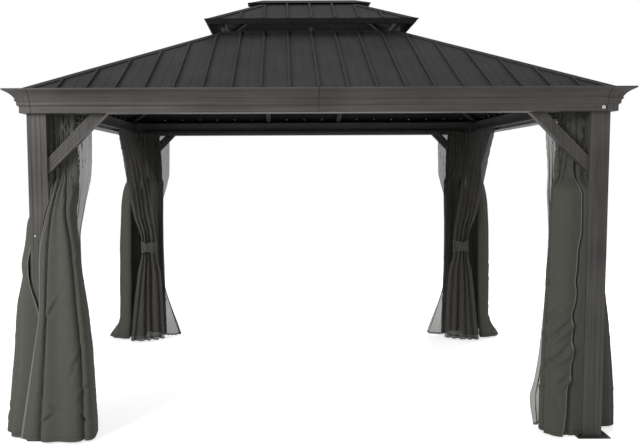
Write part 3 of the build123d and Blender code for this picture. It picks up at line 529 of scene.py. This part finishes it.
FRONT_RIGHT_NET = [
    span(TOP, 3.0, 5.1, NET_LINE, NET_HALF),
    (1.0, [(3.2, 1.4, 0.16), (3.7, 1.39, 0.18), (4.15, 1.34, 0.18), (4.6, 1.25, 0.16)]),
    (0.93, [(3.0, 1.62, 0.18), (3.55, 1.62, 0.2), (4.05, 1.56, 0.2), (4.55, 1.45, 0.18)]),
    (0.75, [(2.1, 1.78, 0.22), (2.9, 1.83, 0.25), (3.6, 1.79, 0.25), (4.2, 1.7, 0.22)]),
    (0.33, [(2.1, 1.98, 0.22), (3.1, 2.08, 0.25), (4.0, 2.02, 0.25), (4.8, 1.88, 0.2)]),
    (0.2, [(2.1, 2.04, 0.22), (3.2, 2.15, 0.25), (4.3, 2.1, 0.25), (5.25, 1.95, 0.2)]),
    (0.12, [(2.1, 2.1, 0.22), (3.4, 2.2, 0.26), (4.6, 2.15, 0.26), (5.75, 1.95, 0.22)]),
    (BOTTOM, [(2.1, 2.15, 0.25), (3.3, 2.3, 0.28), (4.4, 2.2, 0.28), (5.3, 2.0, 0.25)]),
]


def through(places, values, at):
    """A smooth curve through values (first axis) at rising places, without overshoot."""
    places = np.asarray(places, float)
    values = np.asarray(values, float)
    steps = np.diff(places).reshape((-1,) + (1,) * (values.ndim - 1))
    slopes = np.diff(values, axis=0) / steps
    tangents = np.zeros_like(values)
    before, after = slopes[:-1], slopes[1:]
    same = before * after > 0
    safe = np.where(same, before + after, 1.0)
    tangents[1:-1] = np.where(same, 2 * before * after / safe, 0.0)
    tangents[0], tangents[-1] = slopes[0], slopes[-1]
    index = np.clip(np.searchsorted(places, at) - 1, 0, len(places) - 2)
    width = (places[index + 1] - places[index]).reshape((-1,) + (1,) * (values.ndim - 1))
    part = ((at - places[index]) / (places[index + 1] - places[index])).reshape(width.shape)
    return (
        (2 * part**3 - 3 * part**2 + 1) * values[index]
        + (part**3 - 2 * part**2 + part) * width * tangents[index]
        + (3 * part**2 - 2 * part**3) * values[index + 1]
        + (part**3 - part**2) * width * tangents[index + 1]
    )


def arched(creases, reach):
    """Rounded folds between creases: 1 on a crest, and 1 less the crease's depth in a crease.

    Each crease is (place, depth, lean); a lean above 1 lays the fold after it over.
    """
    places, depths, leans = np.array(creases).T
    places = np.maximum.accumulate(places + np.arange(len(places)) * 1e-5)
    index = np.clip(np.searchsorted(places, reach, side="right") - 1, 0, len(places) - 2)
    part = np.clip((reach - places[index]) / (places[index + 1] - places[index]), 0, 1)
    depth = depths[index] * (1 - part) + depths[index + 1] * part
    return 1 - depth * np.abs(2 * part ** leans[index] - 1) ** FOLD_POWER


def uneven_creases(random, count, depth):
    """Creases of uneven pitch, depth and lean across a cloth, with soft free edges."""
    pitches = 0.55 + 0.9 * random.random(count + 1)
    places = np.cumsum(pitches) / pitches.sum()
    inner = []
    for place in places[:-1]:
        deep = depth * (0.55 + 0.6 * random.random())
        inner.append((place, deep, 0.6 + random.random()))
    return [(0.0, 0.3 * depth, 1.0), *inner, (1.0, 0.3 * depth, 1.0)]


def follow(path, row_z):
    """A value that changes with height, from (share of the braces' foot, value) pairs."""
    heights, values = zip(*sorted(path))
    return through(np.array(heights) * BRACE_FOOT, np.array(values), row_z)


def hang_cloth(levels, corner, on_side, seed, pleats, creases, edge, doubled, inward, settle, mesh):
    """Points of a gathered cloth, row by row from the rail down.

    A doubled cloth runs along its outer face and back behind it. Pleats is their number in the
    heading, which has settled into the creases this share of the way down; without pleats the
    creases run up to the rail. A crease is (its way down, depth, lean), edge is where the outer
    face starts, and an inward cloth has its deep folds on the face behind.
    """
    rows, columns = mesh
    random = np.random.default_rng(seed)
    heights = np.array([height for height, _ in levels]) * BRACE_FOOT
    plans = np.array([plan for _, plan in levels]) * POST_HALF
    row_z = np.linspace(heights[0], heights[-1], rows)
    plan = through(heights[::-1], plans[::-1], row_z)
    across = np.linspace(0, 1, columns)
    if doubled:
        turn = np.sqrt((1 - 2 * across) ** 2 + TURN_WIDTH**2)
        reach = 1 - (turn - TURN_WIDTH) / (turn[0] - TURN_WIDTH)
        side = (1 - 2 * across) / turn
    else:
        reach, side = across, np.ones(columns)
    heading = uneven_creases(random, pleats, HEADING_DEPTH)
    hidden = uneven_creases(random, *HIDDEN_CREASES)
    ways = [(follow(way, row_z), depth, lean) for way, depth, lean in creases]
    sway = random.random((len(ways), 2))
    drop = (heights[0] - row_z) / (heights[0] - heights[-1])
    starts = follow(edge, row_z) if edge else np.zeros(rows)
    stagger = STAGGER * (random.random(STAGGER_STEPS) - 0.5)
    stagger_places = np.linspace(0, 1, STAGGER_STEPS)
    points = np.zeros((rows, columns, 3))
    for row in range(rows):
        place = np.where(side > 0, starts[row] + (1 - starts[row]) * reach, reach)
        ease = (drop[row] + np.interp(place, stagger_places, stagger)) / settle
        ease = np.clip(ease, 0, 1)
        settled = ease**2 * (3 - 2 * ease)
        folds = [(0.0, EDGE_CREASE, 1.0)]
        for (way, depth, lean), (phase, turns) in zip(ways, sway):
            swing = SWAY * math.sin(2 * math.pi * (drop[row] * (SWAY_TURNS + turns) + phase))
            folds.append((way[row] + swing, depth, lean))
        folds.append((1.0, EDGE_CREASE, 1.0))
        wave = arched(folds, place)
        if pleats:
            wave += (1 - settled) * (arched(heading, place) - wave)
        if doubled:
            shallow = arched(hidden, place)
            outer, inner = (shallow, -wave) if inward else (wave, -shallow)
            bare = np.clip((starts[row] - reach) / BARE_BLEND, 0, 1)
            inner = inner + bare * (BARE_DEPTH * arched(heading, place) - inner)
            wave = np.where(side > 0, outer, inner) * np.abs(side)
        spine = through(THIRDS, plan[row], place)
        ahead = through(THIRDS, plan[row], np.clip(place + SIDESTEP, 0, 1))
        behind = through(THIRDS, plan[row], np.clip(place - SIDESTEP, 0, 1))
        along = ahead[:, :2] - behind[:, :2]
        along /= np.linalg.norm(along, axis=1, keepdims=True) + 1e-9
        normal = np.stack((along[:, 1], -along[:, 0]), axis=1)
        flat = spine[:, :2] + normal * (spine[:, 2] * wave)[:, None]
        u, v = (flat[:, 1], flat[:, 0]) if on_side else (flat[:, 0], flat[:, 1])
        points[row, :, 0] = corner[0] * (POST_X - u)
        points[row, :, 1] = corner[1] * (POST_Y - v)
        points[row, :, 2] = row_z[row]
    return points


def sharp(value, width):
    """A narrow ridge where a noise passes through zero."""
    return max(0.0, 1 - abs(value) / width) ** 2


def wrinkle(points, seed, gather, buckle, drags=()):
    """Pushes a cloth in and out: gathers and crumples under its heading, soft buckles below.

    A drag is one short wrinkle: (place across, height, angle, length, width, depth), in metres
    and radians. The numbers in the noise are its turns a metre and its steps from seed to seed.
    """
    rows, columns, _ = points.shape
    across = np.gradient(points, axis=1)
    down = np.gradient(points, axis=0)
    normals = np.cross(across, down)
    normals /= np.linalg.norm(normals, axis=2, keepdims=True) + 1e-12
    spread = np.cumsum(np.linalg.norm(across, axis=2), axis=1)
    push = np.zeros((rows, columns))
    top = points[0, 0, 2]
    for row in range(rows):
        fall = top - points[row, 0, 2]
        near = math.exp(-((fall / HEADING_REACH) ** 2))
        rim = min(1.0, fall / RAIL_REACH)
        for column in range(columns):
            run = spread[row, column]
            fine = noise.noise(Vector((run * 42, fall * 5 + seed, seed * 3.1)))
            slant = noise.noise(Vector((run * 8 + fall * 3, fall * 3.0 - run * 2, seed * 1.7)))
            fold = noise.noise(Vector((run * 13 - fall * 7, fall * 9 + run * 6, seed * 2.3)))
            cross = noise.noise(Vector((run * 9 + fall * 8, fall * 12 - run * 7, seed * 4.9)))
            crease = sharp(fold, FOLD_WIDTH) + sharp(cross, CROSS_WIDTH)
            crumple = crease * (CRUMPLE_BELOW + CRUMPLE_HEADING * near) * rim
            buckled = SLANT_SHARE * slant - CRUMPLE_SHARE * crumple
            push[row, column] = gather * near * fine + buckle * buckled
    for place, height, angle, length, width, depth in drags:
        way = (spread - place) * math.cos(angle) + (points[:, :, 2] - height) * math.sin(angle)
        off = -(spread - place) * math.sin(angle) + (points[:, :, 2] - height) * math.cos(angle)
        beside = (off - HOLLOW_AWAY * width) / width
        push += depth * np.exp(-((way / length) ** 2) - (off / width) ** 2)
        push -= HOLLOW_DEPTH * depth * np.exp(-((way / length) ** 2) - beside**2)
    return points + normals * push[:, :, None]


def cloth_mesh(name, points, cloth, hem, thin):
    """A sheet from its rows of points, with its flat size in metres as its UV map.

    Its hem shows down its free edge, and on a thin cloth also along its foot and far edge; a
    curtain's lighter hem is a painted highlight.
    """
    rows, columns, _ = points.shape
    widths = np.linalg.norm(np.diff(points, axis=1), axis=2)
    flat_width = widths.sum(axis=1).mean()
    drops = np.linalg.norm(np.diff(points, axis=0), axis=2)
    flat_length = drops.sum(axis=0).mean()
    faces = [
        (r * columns + c, r * columns + c + 1, (r + 1) * columns + c + 1, (r + 1) * columns + c)
        for r in range(rows - 1)
        for c in range(columns - 1)
    ]
    mesh = bpy.data.meshes.new(name)
    mesh.from_pydata(points.reshape(-1, 3).tolist(), [], faces)
    layer = mesh.uv_layers.new(name="cloth")
    for loop in mesh.loops:
        row, column = divmod(loop.vertex_index, columns)
        layer.data[loop.index].uv = (
            flat_width * column / (columns - 1),
            flat_length * (1 - row / (rows - 1)),
        )
    mesh.shade_smooth()
    mesh.materials.append(cloth)
    mesh.materials.append(hem)
    for face in mesh.polygons:
        row, column = divmod(face.index, columns - 1)
        far = row == rows - 2 or column >= columns - 1 - HEM_FACES
        if column < HEM_FACES or (thin and far):
            face.material_index = 1
    return add_object(name, mesh), flat_width, flat_length


def woven_group():
    """Plain weave on the cloth's own map in metres, with uneven yarn and a stitched hem."""
    tree, start, end = group_tree(
        "woven_cloth",
        [
            ("Colour", "NodeSocketColor", (0.1, 0.1, 0.1, 1.0)),
            ("Thread", "NodeSocketFloat", 0.002),
            ("Yarn", "NodeSocketFloat", 0.3),
            ("Hem", "NodeSocketFloat", 0.025),
        ],
        [("Colour", "NodeSocketColor"), ("Height", "NodeSocketFloat")],
    )
    sheet = tree.nodes.new("ShaderNodeUVMap")
    sheet.uv_map = "cloth"
    flat = tree.nodes.new("ShaderNodeSeparateXYZ")
    tree.links.new(sheet.outputs[0], flat.inputs[0])
    turns = math_node(tree, "DIVIDE", 2 * math.pi, start.outputs["Thread"])
    warp = math_node(tree, "SINE", math_node(tree, "MULTIPLY", flat.outputs["X"], turns))
    weft = math_node(tree, "SINE", math_node(tree, "MULTIPLY", flat.outputs["Y"], turns))
    slub = noise_node(tree, sheet.outputs[0], 1.0, 3.0, SLUB_STRETCH)
    above = math_node(tree, "SUBTRACT", flat.outputs["Y"], start.outputs["Hem"])
    from_hem = math_node(tree, "ABSOLUTE", above)
    stitch = math_node(tree, "LESS_THAN", from_hem, STITCH_HALF)
    swing = math_node(tree, "SUBTRACT", slub, 0.5)
    uneven = math_node(tree, "MULTIPLY", swing, start.outputs["Yarn"])
    yarn_shade = math_node(tree, "ADD", uneven, 1.0)
    darker = math_node(tree, "MULTIPLY", stitch, STITCH_SHADE)
    shade = math_node(tree, "SUBTRACT", yarn_shade, darker)
    tree.links.new(shaded(tree, start.outputs["Colour"], shade), end.inputs["Colour"])
    weave = math_node(tree, "ADD", math_node(tree, "MULTIPLY", warp, weft), slub)
    tree.links.new(math_node(tree, "SUBTRACT", weave, stitch), end.inputs["Height"])
    return tree


woven = woven_group()


def cloth_material(name, colour, thread, yarn, alpha, bump):
    """Woven cloth; the thread's width is in metres."""
    material, tree, shader = new_material(name)
    weave = tree.nodes.new("ShaderNodeGroup")
    weave.node_tree = woven
    weave.inputs["Colour"].default_value = linear(colour)
    weave.inputs["Thread"].default_value = thread
    weave.inputs["Yarn"].default_value = yarn
    tree.links.new(weave.outputs["Colour"], shader.inputs["Base Color"])
    shader.inputs["Roughness"].default_value = 0.9
    shader.inputs["Specular IOR Level"].default_value = 0.2
    shader.inputs["Alpha"].default_value = alpha
    add_bump(tree, shader, weave.outputs["Height"], bump, THREAD_DEPTH)
    return material


# Each cloth: its name, colour, thread, unevenness of the yarn, cover and bump strength
curtain_cloth = cloth_material("curtain_cloth", CLOTH_GREY, 0.0018, 0.35, 1.0, 0.3)
# A curtain's hem is the cloth in a lighter grey, a painted highlight along its free edge
curtain_hem_highlight = cloth_material("curtain_hem_highlight", HEM_HIGHLIGHT_GREY, 0.0018, 0.35, 1.0, 0.3)
net_cloth = cloth_material("net_cloth", NET_GREY, 0.0016, 0.3, 0.76, 0.2)
net_hem = cloth_material("net_hem", NET_GREY, 0.0016, 0.3, 0.95, 0.2)


def straight(seed, count, depth):
    """Creases of uneven pitch that run straight down a cloth."""
    random = np.random.default_rng(seed)
    inner = uneven_creases(random, count, depth)[1:-1]
    return [([(TOP, place), (BOTTOM, place)], deep, lean) for place, deep, lean in inner]


def small_drags(seed, count, width):
    """Short slanting wrinkles (see wrinkle) scattered over the lower part of a cloth."""
    random = np.random.default_rng(seed)
    return [
        (
            width * random.random(),
            0.08 + 0.75 * random.random() ** 1.6,
            1.3 * (random.random() - 0.5),
            0.04 + 0.05 * random.random(),
            0.011 + 0.005 * random.random(),
            0.004 + 0.003 * random.random(),
        )
        for _ in range(count)
    ]


# Where an outer face starts across the cloth, by height as a share of the braces' foot
LEFT_EDGE = [(TOP, 0.16), (1.0, 0.17), (0.9, 0.12), (0.8, 0.04), (0.7, 0.0), (BOTTOM, 0.0)]
WAVY_EDGE = [
    (TOP, 0.4), (1.02, 0.38), (0.912, 0.12), (0.794, 0.11), (0.7, 0.175), (0.65, 0.18),
    (0.6, 0.205), (0.55, 0.175), (0.519, 0.19), (0.47, 0.25), (0.431, 0.23), (0.38, 0.235),
    (0.312, 0.207), (0.28, 0.25), (0.25, 0.24), (0.18, 0.31), (0.116, 0.31), (BOTTOM, 0.347),
]

# Creases, each as (its way down, depth, lean)
LEFT_CREASES = [
    ([(TOP, 0.35), (1.0, 0.35), (0.73, 0.27), (0.45, 0.25), (BOTTOM, 0.24)], 1.25, 0.55),
    ([(TOP, 0.45), (0.6, 0.44), (BOTTOM, 0.42)], 0.35, 1.0),
    (
        [(TOP, 0.5), (0.96, 0.55), (0.87, 0.62), (0.73, 0.68), (0.455, 0.66), (BOTTOM, 0.64)],
        1.2,
        0.6,
    ),
]
RIGHT_CREASES = [
    ([(TOP, 0.6), (0.7, 0.62), (BOTTOM, 0.6)], 0.3, 1.2),
    ([(TOP, 0.8), (BOTTOM, 0.78)], 0.8, 0.8),
]

# Drags, each as (place across, height, angle, length, width, depth)
LEFT_DRAGS = [
    (0.2, 0.15, 0.75, 0.045, 0.012, 0.012), (0.23, 0.22, -0.6, 0.035, 0.011, 0.009),
    (0.45, 0.14, -0.7, 0.055, 0.012, 0.012), (0.42, 0.32, 1.0, 0.07, 0.014, 0.008),
    (0.33, 0.5, 1.25, 0.12, 0.014, 0.006), (0.12, 0.8, 1.1, 0.09, 0.013, 0.006),
    (0.3, 1.15, 1.2, 0.1, 0.012, 0.006),
]
RIGHT_DRAGS = [
    (0.06, 0.64, -0.75, 0.09, 0.015, 0.02), (0.12, 0.72, -0.8, 0.07, 0.014, 0.014),
    (0.05, 0.5, -0.85, 0.1, 0.017, 0.018), (0.13, 0.44, -0.75, 0.07, 0.014, 0.014),
    (0.03, 0.33, -0.9, 0.06, 0.014, 0.014), (0.15, 0.92, -0.6, 0.08, 0.016, 0.009),
    (0.09, 0.2, 0.9, 0.06, 0.014, 0.011), (0.2, 0.58, 0.7, 0.05, 0.012, 0.012),
    (0.21, 0.3, -0.7, 0.05, 0.012, 0.012),
]

# Each way of hanging: where the outer face starts, whether the cloth is doubled, whether it is
# seen from inside, how far down its pleats settle, and its mesh
LEFT_FRONT = (LEFT_EDGE, True, False, 0.3, FRONT_MESH)
RIGHT_FRONT = (WAVY_EDGE, True, False, 0.22, FRONT_MESH)
FRONT_SIDE = (None, True, False, 0.36, FRONT_MESH)
REAR = (None, True, True, 0.36, PLAIN_MESH)
SINGLE = (None, False, False, 0.3, PLAIN_MESH)
TIED = (None, True, True, 0.3, PLAIN_MESH)

# Each fall: its name, levels, seed, pleats in the heading, creases, drags and way of hanging.
# A name is the CAD node, which says the corner, and then which fall of that node it is.
FALLS = [
    ("curtain_front_left_front", FRONT_LEFT_FRONT, 11, 5, LEFT_CREASES, LEFT_DRAGS, LEFT_FRONT),
    ("curtain_front_left_side", FRONT_LEFT_SIDE, 12, 7,
     straight(31, 2, 1.0), small_drags(41, 6, 0.4), FRONT_SIDE),
    ("curtain_front_right_front", FRONT_RIGHT_FRONT, 13, 4,
     RIGHT_CREASES, RIGHT_DRAGS, RIGHT_FRONT),
    ("curtain_front_right_side", FRONT_RIGHT_SIDE, 14, 7,
     straight(32, 2, 1.0), small_drags(42, 6, 0.4), FRONT_SIDE),
    ("curtain_rear_left_rear", REAR_REAR, 15, 6,
     straight(33, 3, 1.2), small_drags(43, 6, 0.3), REAR),
    ("curtain_rear_left_side", REAR_SIDE, 16, 6,
     straight(34, 2, 1.0), small_drags(44, 6, 0.3), REAR),
    ("curtain_rear_right_rear", REAR_REAR, 17, 6,
     straight(35, 3, 1.2), small_drags(45, 6, 0.3), REAR),
    ("curtain_rear_right_side", REAR_SIDE, 18, 6,
     straight(36, 2, 1.0), small_drags(46, 6, 0.3), REAR),
    ("net_front_left_sheet", FRONT_LEFT_NET, 21, 0, straight(51, 5, 1.7), [], SINGLE),
    ("net_front_right_sheet", FRONT_RIGHT_NET, 22, 0, straight(52, 5, 1.7), [], SINGLE),
    ("net_rear_left_tied", TIED_NET, 23, 0, straight(53, 4, 1.2), [], TIED),
    ("net_rear_left_flap", FLAP_NET, 24, 0, straight(54, 4, 1.7), [], SINGLE),
    ("net_rear_right_tied", TIED_NET, 25, 0, straight(57, 4, 1.2), [], TIED),
    ("net_rear_right_flap", FLAP_NET, 26, 0, straight(56, 4, 1.7), [], SINGLE),
]
for name, levels, seed, pleats, creases, drags, hanging in FALLS:
    kind, end, hand, fall = name.split("_")
    node = f"{kind}_{end}_{hand}"
    corner = (-1 if hand == "left" else 1, -1 if end == "front" else 1)
    is_net = kind == "net"
    on_side = fall in ("side", "tied")
    points = hang_cloth(levels, corner, on_side, seed, pleats, creases, *hanging)
    points = wrinkle(points, seed, GATHER, NET_BUCKLE if is_net else CURTAIN_BUCKLE, drags)
    # A curtain's hem carries a painted highlight; a net's hem is only denser cloth
    cloth, hem = (net_cloth, net_hem) if is_net else (curtain_cloth, curtain_hem_highlight)
    piece, flat_width, flat_length = cloth_mesh(name, points, cloth, hem, is_net)
    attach(piece, "root")
    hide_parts(node)


# Tie bands in metres: their middle and half height, how far they stand off the net, how much
# their edges roll out, how deep they crinkle
WAIST_MIDDLE = (WAIST[0][2] + WAIST[1][2]) / 2
BAND_FILL = 0.94
WAIST_HALF = (WAIST[1][2] - WAIST[0][2]) / 2 * BAND_FILL
BAND_GROW = 0.004
BAND_ROLL = 0.003
BAND_CRINKLE = 0.002

# The pinch under a knot: its place as a share of the way round, its reach in columns, and how
# much narrower the band is there
KNOT_AT = 0.72
PINCH_REACH = 5.0
PINCH = 0.28

# A knot: its radius in metres, its stretch along x, y and z, and how uneven it is
KNOT_RADIUS = 0.019
KNOT_STRETCH = (1.1, 0.7, 1.35)
KNOT_LUMPS = 60
KNOT_LUMP = 0.22


def tie_band(side, seed, around=72, rows=13):
    """Points of a band drawn tight round a tied net, pinched under its knot."""
    plan = np.array(TIED_WAIST) * POST_HALF
    place = np.linspace(0, 1, around // 2)
    spine = through(THIRDS, plan, place)
    along = np.gradient(spine[:, :2], axis=0)
    along /= np.linalg.norm(along, axis=1, keepdims=True)
    normal = np.stack((along[:, 1], -along[:, 0]), axis=1)
    round_off = np.sqrt(1 - np.abs(2 * place - 1) ** 4)
    reach = (spine[:, 2] * round_off)[:, None] * normal
    loop = np.concatenate((spine[:, :2] + reach, (spine[:, :2] - reach)[::-1]))
    middle = loop.mean(axis=0)
    outward = loop - middle
    outward /= np.linalg.norm(outward, axis=1, keepdims=True)
    loop = np.vstack((loop, loop[:1]))
    outward = np.vstack((outward, outward[:1]))
    knot = KNOT_AT * around
    points = np.zeros((rows, around + 1, 3))
    for row in range(rows):
        height = 1 - 2 * row / (rows - 1)
        for column in range(around + 1):
            near = math.exp(-(((column - knot) / PINCH_REACH) ** 2))
            crinkle = noise.noise(Vector((column % around * 0.55, height * 1.3 + seed, seed)))
            out = BAND_GROW + BAND_ROLL * height**2 + BAND_CRINKLE * crinkle
            u, v = loop[column] + out * outward[column]
            rise = WAIST_HALF * height * (1 - PINCH * near) * (1 + 0.06 * crinkle)
            points[row, column] = (side * (POST_X - v), POST_Y - u, WAIST_MIDDLE + rise)
    return points, points[rows // 2, int(knot)]


def knot_mesh(name, seed, place):
    """A lumpy knot at a place on its band."""
    shape = bmesh.new()
    bmesh.ops.create_uvsphere(shape, u_segments=20, v_segments=14, radius=KNOT_RADIUS)
    for vertex in shape.verts:
        lump = noise.noise(vertex.co * KNOT_LUMPS + Vector((seed, 0, 0)))
        stretched = Vector([c * stretch for c, stretch in zip(vertex.co, KNOT_STRETCH)])
        vertex.co = stretched * (1 + KNOT_LUMP * lump)
        vertex.co += Vector(place)
    mesh = bpy.data.meshes.new(name)
    shape.to_mesh(mesh)
    shape.free()
    mesh.shade_smooth()
    mesh.materials.append(net_hem)
    return mesh


for hand, side, seed in (("left", -1, 61), ("right", 1, 62)):
    name = "tie_band_" + hand
    points, knot_place = tie_band(side, seed)
    piece, flat_width, flat_length = cloth_mesh(name, points, net_hem, net_hem, False)
    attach(piece, "root")
    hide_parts("tie_bands")
    knot = add_object(name + "_knot", knot_mesh(name + "_knot", seed, knot_place))
    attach(knot, "root")


# Width of a fastener's top against its foot, and how far it is sunk in the metal, in metres
HEAD_TAPER = 0.8
SUNK = 0.0003


def plain_finish(name, colour, roughness):
    """A plain smooth finish, not metallic, for small fasteners."""
    material, _, shader = new_material(name)
    shader.inputs["Base Color"].default_value = linear(colour)
    shader.inputs["Roughness"].default_value = roughness
    return material


def fastener_tree():
    """Washers with low tapered heads on points, each facing its point's own direction."""
    tree = bpy.data.node_groups.new("fasteners", "GeometryNodeTree")
    for socket, kind in (
        ("Places", "NodeSocketGeometry"), ("Sides", "NodeSocketInt"),
        ("Head Radius", "NodeSocketFloat"), ("Head Height", "NodeSocketFloat"),
        ("Washer Radius", "NodeSocketFloat"), ("Washer Height", "NodeSocketFloat"),
        ("Finish", "NodeSocketMaterial"),
    ):
        tree.interface.new_socket(socket, in_out="INPUT", socket_type=kind)
    tree.interface.new_socket("Fasteners", in_out="OUTPUT", socket_type="NodeSocketGeometry")
    start = tree.nodes.new("NodeGroupInput")
    end = tree.nodes.new("NodeGroupOutput")
    join = tree.nodes.new("GeometryNodeJoinGeometry")
    for kind in ("Washer", "Head"):
        disc = tree.nodes.new("GeometryNodeMeshCone")
        tree.links.new(start.outputs["Sides"], disc.inputs["Vertices"])
        tree.links.new(start.outputs[kind + " Radius"], disc.inputs["Radius Bottom"])
        taper = math_node(tree, "MULTIPLY", start.outputs[kind + " Radius"], HEAD_TAPER)
        tree.links.new(taper, disc.inputs["Radius Top"])
        tree.links.new(start.outputs[kind + " Height"], disc.inputs["Depth"])
        if kind == "Washer":
            tree.links.new(disc.outputs["Mesh"], join.inputs[0])
        else:
            lift = tree.nodes.new("ShaderNodeCombineXYZ")
            tree.links.new(start.outputs["Washer Height"], lift.inputs["Z"])
            move = tree.nodes.new("GeometryNodeTransform")
            tree.links.new(disc.outputs["Mesh"], move.inputs["Geometry"])
            tree.links.new(lift.outputs[0], move.inputs["Translation"])
            tree.links.new(move.outputs[0], join.inputs[0])
    facing = tree.nodes.new("GeometryNodeInputNamedAttribute")
    facing.data_type = "FLOAT_VECTOR"
    facing.inputs["Name"].default_value = "facing"
    turn = tree.nodes.new("FunctionNodeAlignRotationToVector")
    turn.axis = "Z"
    tree.links.new(facing.outputs["Attribute"], turn.inputs["Vector"])
    stamp = tree.nodes.new("GeometryNodeInstanceOnPoints")
    tree.links.new(start.outputs["Places"], stamp.inputs["Points"])
    tree.links.new(join.outputs[0], stamp.inputs["Instance"])
    tree.links.new(turn.outputs[0], stamp.inputs["Rotation"])
    realize = tree.nodes.new("GeometryNodeRealizeInstances")
    tree.links.new(stamp.outputs[0], realize.inputs[0])
    finish = tree.nodes.new("GeometryNodeSetMaterial")
    tree.links.new(realize.outputs[0], finish.inputs["Geometry"])
    tree.links.new(start.outputs["Finish"], finish.inputs["Material"])
    tree.links.new(finish.outputs[0], end.inputs[0])
    return tree


fasteners = fastener_tree()


def seat(node, start, way):
    """Where a line meets a metal piece, and which way the metal faces there."""
    mesh = frame["nodes"][node].data
    corners = [vertex.co for vertex in mesh.vertices]
    faces = [face.vertices for face in mesh.polygons]
    surface = BVHTree.FromPolygons(corners, faces)
    place, facing, _, _ = surface.ray_cast(Vector(start), Vector(way))
    if place is None:
        raise ValueError(f"no metal for a fastener on {node} at {start}")
    if facing.dot(Vector(way)) > 0:
        facing = -facing
    return place - SUNK * facing, facing


def fasten(name, seats, finish, sides, head, washer):
    """Fasteners of one kind as a plain mesh; head and washer are (radius, height)."""
    mesh = bpy.data.meshes.new(name + "_places")
    mesh.from_pydata([place for place, _ in seats], [], [])
    layer = mesh.attributes.new("facing", "FLOAT_VECTOR", "POINT")
    layer.data.foreach_set("vector", [value for _, facing in seats for value in facing])
    carrier = add_object(name + "_places", mesh)
    modifier = carrier.modifiers.new(name, "NODES")
    modifier.node_group = fasteners
    values = {
        "Sides": sides, "Head Radius": head[0], "Head Height": head[1],
        "Washer Radius": washer[0], "Washer Height": washer[1], "Finish": finish,
    }
    for socket in fasteners.interface.items_tree:
        if socket.in_out == "INPUT" and socket.name in values:
            modifier[socket.identifier] = values[socket.name]
    evaluated = carrier.evaluated_get(bpy.context.evaluated_depsgraph_get())
    made = bpy.data.meshes.new_from_object(evaluated)
    bpy.data.objects.remove(carrier)
    piece = add_object(name, made)
    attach(piece, "root")


screw_white = plain_finish("screw_white", SCREW_WHITE, 0.4)
shade_black = plain_finish("shade_black", SHADE_BLACK, 0.8)

# Screws through the ends of the roof sheets, seen from below; a row is its number of screws,
# its first place along the wall and how far out it lies
SCREW_PITCH = 0.1705
LONG_ROW = (18, -1.355, 1.405)
SIDE_ROW = (15, -1.1935, 1.71)
UNDER_ROOF = 2.0
UP = (0, 0, 1)
roof_seats = []
count, first, out = LONG_ROW
for step in range(count):
    x = first + SCREW_PITCH * step
    roof_seats.append(seat("roof_lower_rear", (x, out, UNDER_ROOF), UP))
    roof_seats.append(seat("roof_lower_front", (x, -out, UNDER_ROOF), UP))
count, first, out = SIDE_ROW
for step in range(count):
    y = first + SCREW_PITCH * step
    roof_seats.append(seat("roof_lower_left", (-out, y, UNDER_ROOF), UP))
    roof_seats.append(seat("roof_lower_right", (out, y, UNDER_ROOF), UP))
fasten("roof_screws", roof_seats, screw_white, 10, (0.0055, 0.005), (0.0095, 0.0015))

# Screws down through the roof's front and rear edge
EDGE_SCREW_X = (-1.06, 0.946)
EDGE_SCREW_Y = 1.45
OVER_EDGE = 2.6
DOWN = (0, 0, -1)
edge_seats = []
for node, y in (("roof_lower_front", -EDGE_SCREW_Y), ("roof_lower_rear", EDGE_SCREW_Y)):
    for x in EDGE_SCREW_X:
        edge_seats.append(seat(node, (x, y, OVER_EDGE), DOWN))
fasten("edge_screws", edge_seats, screw_white, 12, (0.006, 0.004), (0.009, 0.002))

# Open holes and bolt caps in the crown's lower band and one screw in a post, each as (x, z);
# they are sought from this far in front and behind
LEFT_HOLE = (-1.621, 1.986)
RIGHT_HOLE = (1.618, 1.99)
RIGHT_CAP = (1.669, 1.987)
POST_SCREW = (-1.692, 1.239)
AWAY = 2.2
TO_REAR = (0, 1, 0)
TO_FRONT = (0, -1, 0)


def seat_seen(node, place, away, way):
    """A seat on an upright face, at (x, z)."""
    return seat(node, (place[0], away, place[1]), way)


hole_seats = []
cap_seats = []
for away, way, left, right in (
    (-AWAY, TO_REAR, "crown_front_left", "crown_front_right"),
    (AWAY, TO_FRONT, "crown_rear_left", "crown_rear_right"),
):
    hole_seats.append(seat_seen(left, LEFT_HOLE, away, way))
    hole_seats.append(seat_seen(right, RIGHT_HOLE, away, way))
    cap_seats.append(seat_seen(right, RIGHT_CAP, away, way))
screw_seats = [seat_seen("post_front_left", POST_SCREW, -AWAY, TO_REAR)]
# The open holes are flat black discs of painted shade, and the dark rings round the bolt caps are
# painted shade too
fasten("bolt_hole_shade", hole_seats, shade_black, 16, (0.004, 0.0002), (0.005, 0.0002))
fasten("bolt_cap_shade_rings", cap_seats, shade_black, 20, (0.0145, 0.0004), (0.0155, 0.0006))
fasten("bolt_caps", cap_seats, screw_white, 20, (0.0105, 0.003), (0.0125, 0.002))
fasten("post_screws", screw_seats, screw_white, 12, (0.004, 0.002), (0.006, 0.001))

make_camera()
make_stage()

# Each lamp: its name, place, the point it faces, its size and its watts
area_light("key", (-4.6, -5.6, 3.8), (-0.3, -0.5, 1.3), (2.4, 2.4), 268.0)
area_light("fill", (4.6, 5.8, 4.4), (0.3, 0.5, 1.4), (3.5, 3.5), 330.0)
area_light("top", (0.3, -0.4, 6.6), (0.0, 0.0, 2.4), (4.0, 4.0), 70.0)

bpy.context.scene.view_settings.view_transform = "Standard"
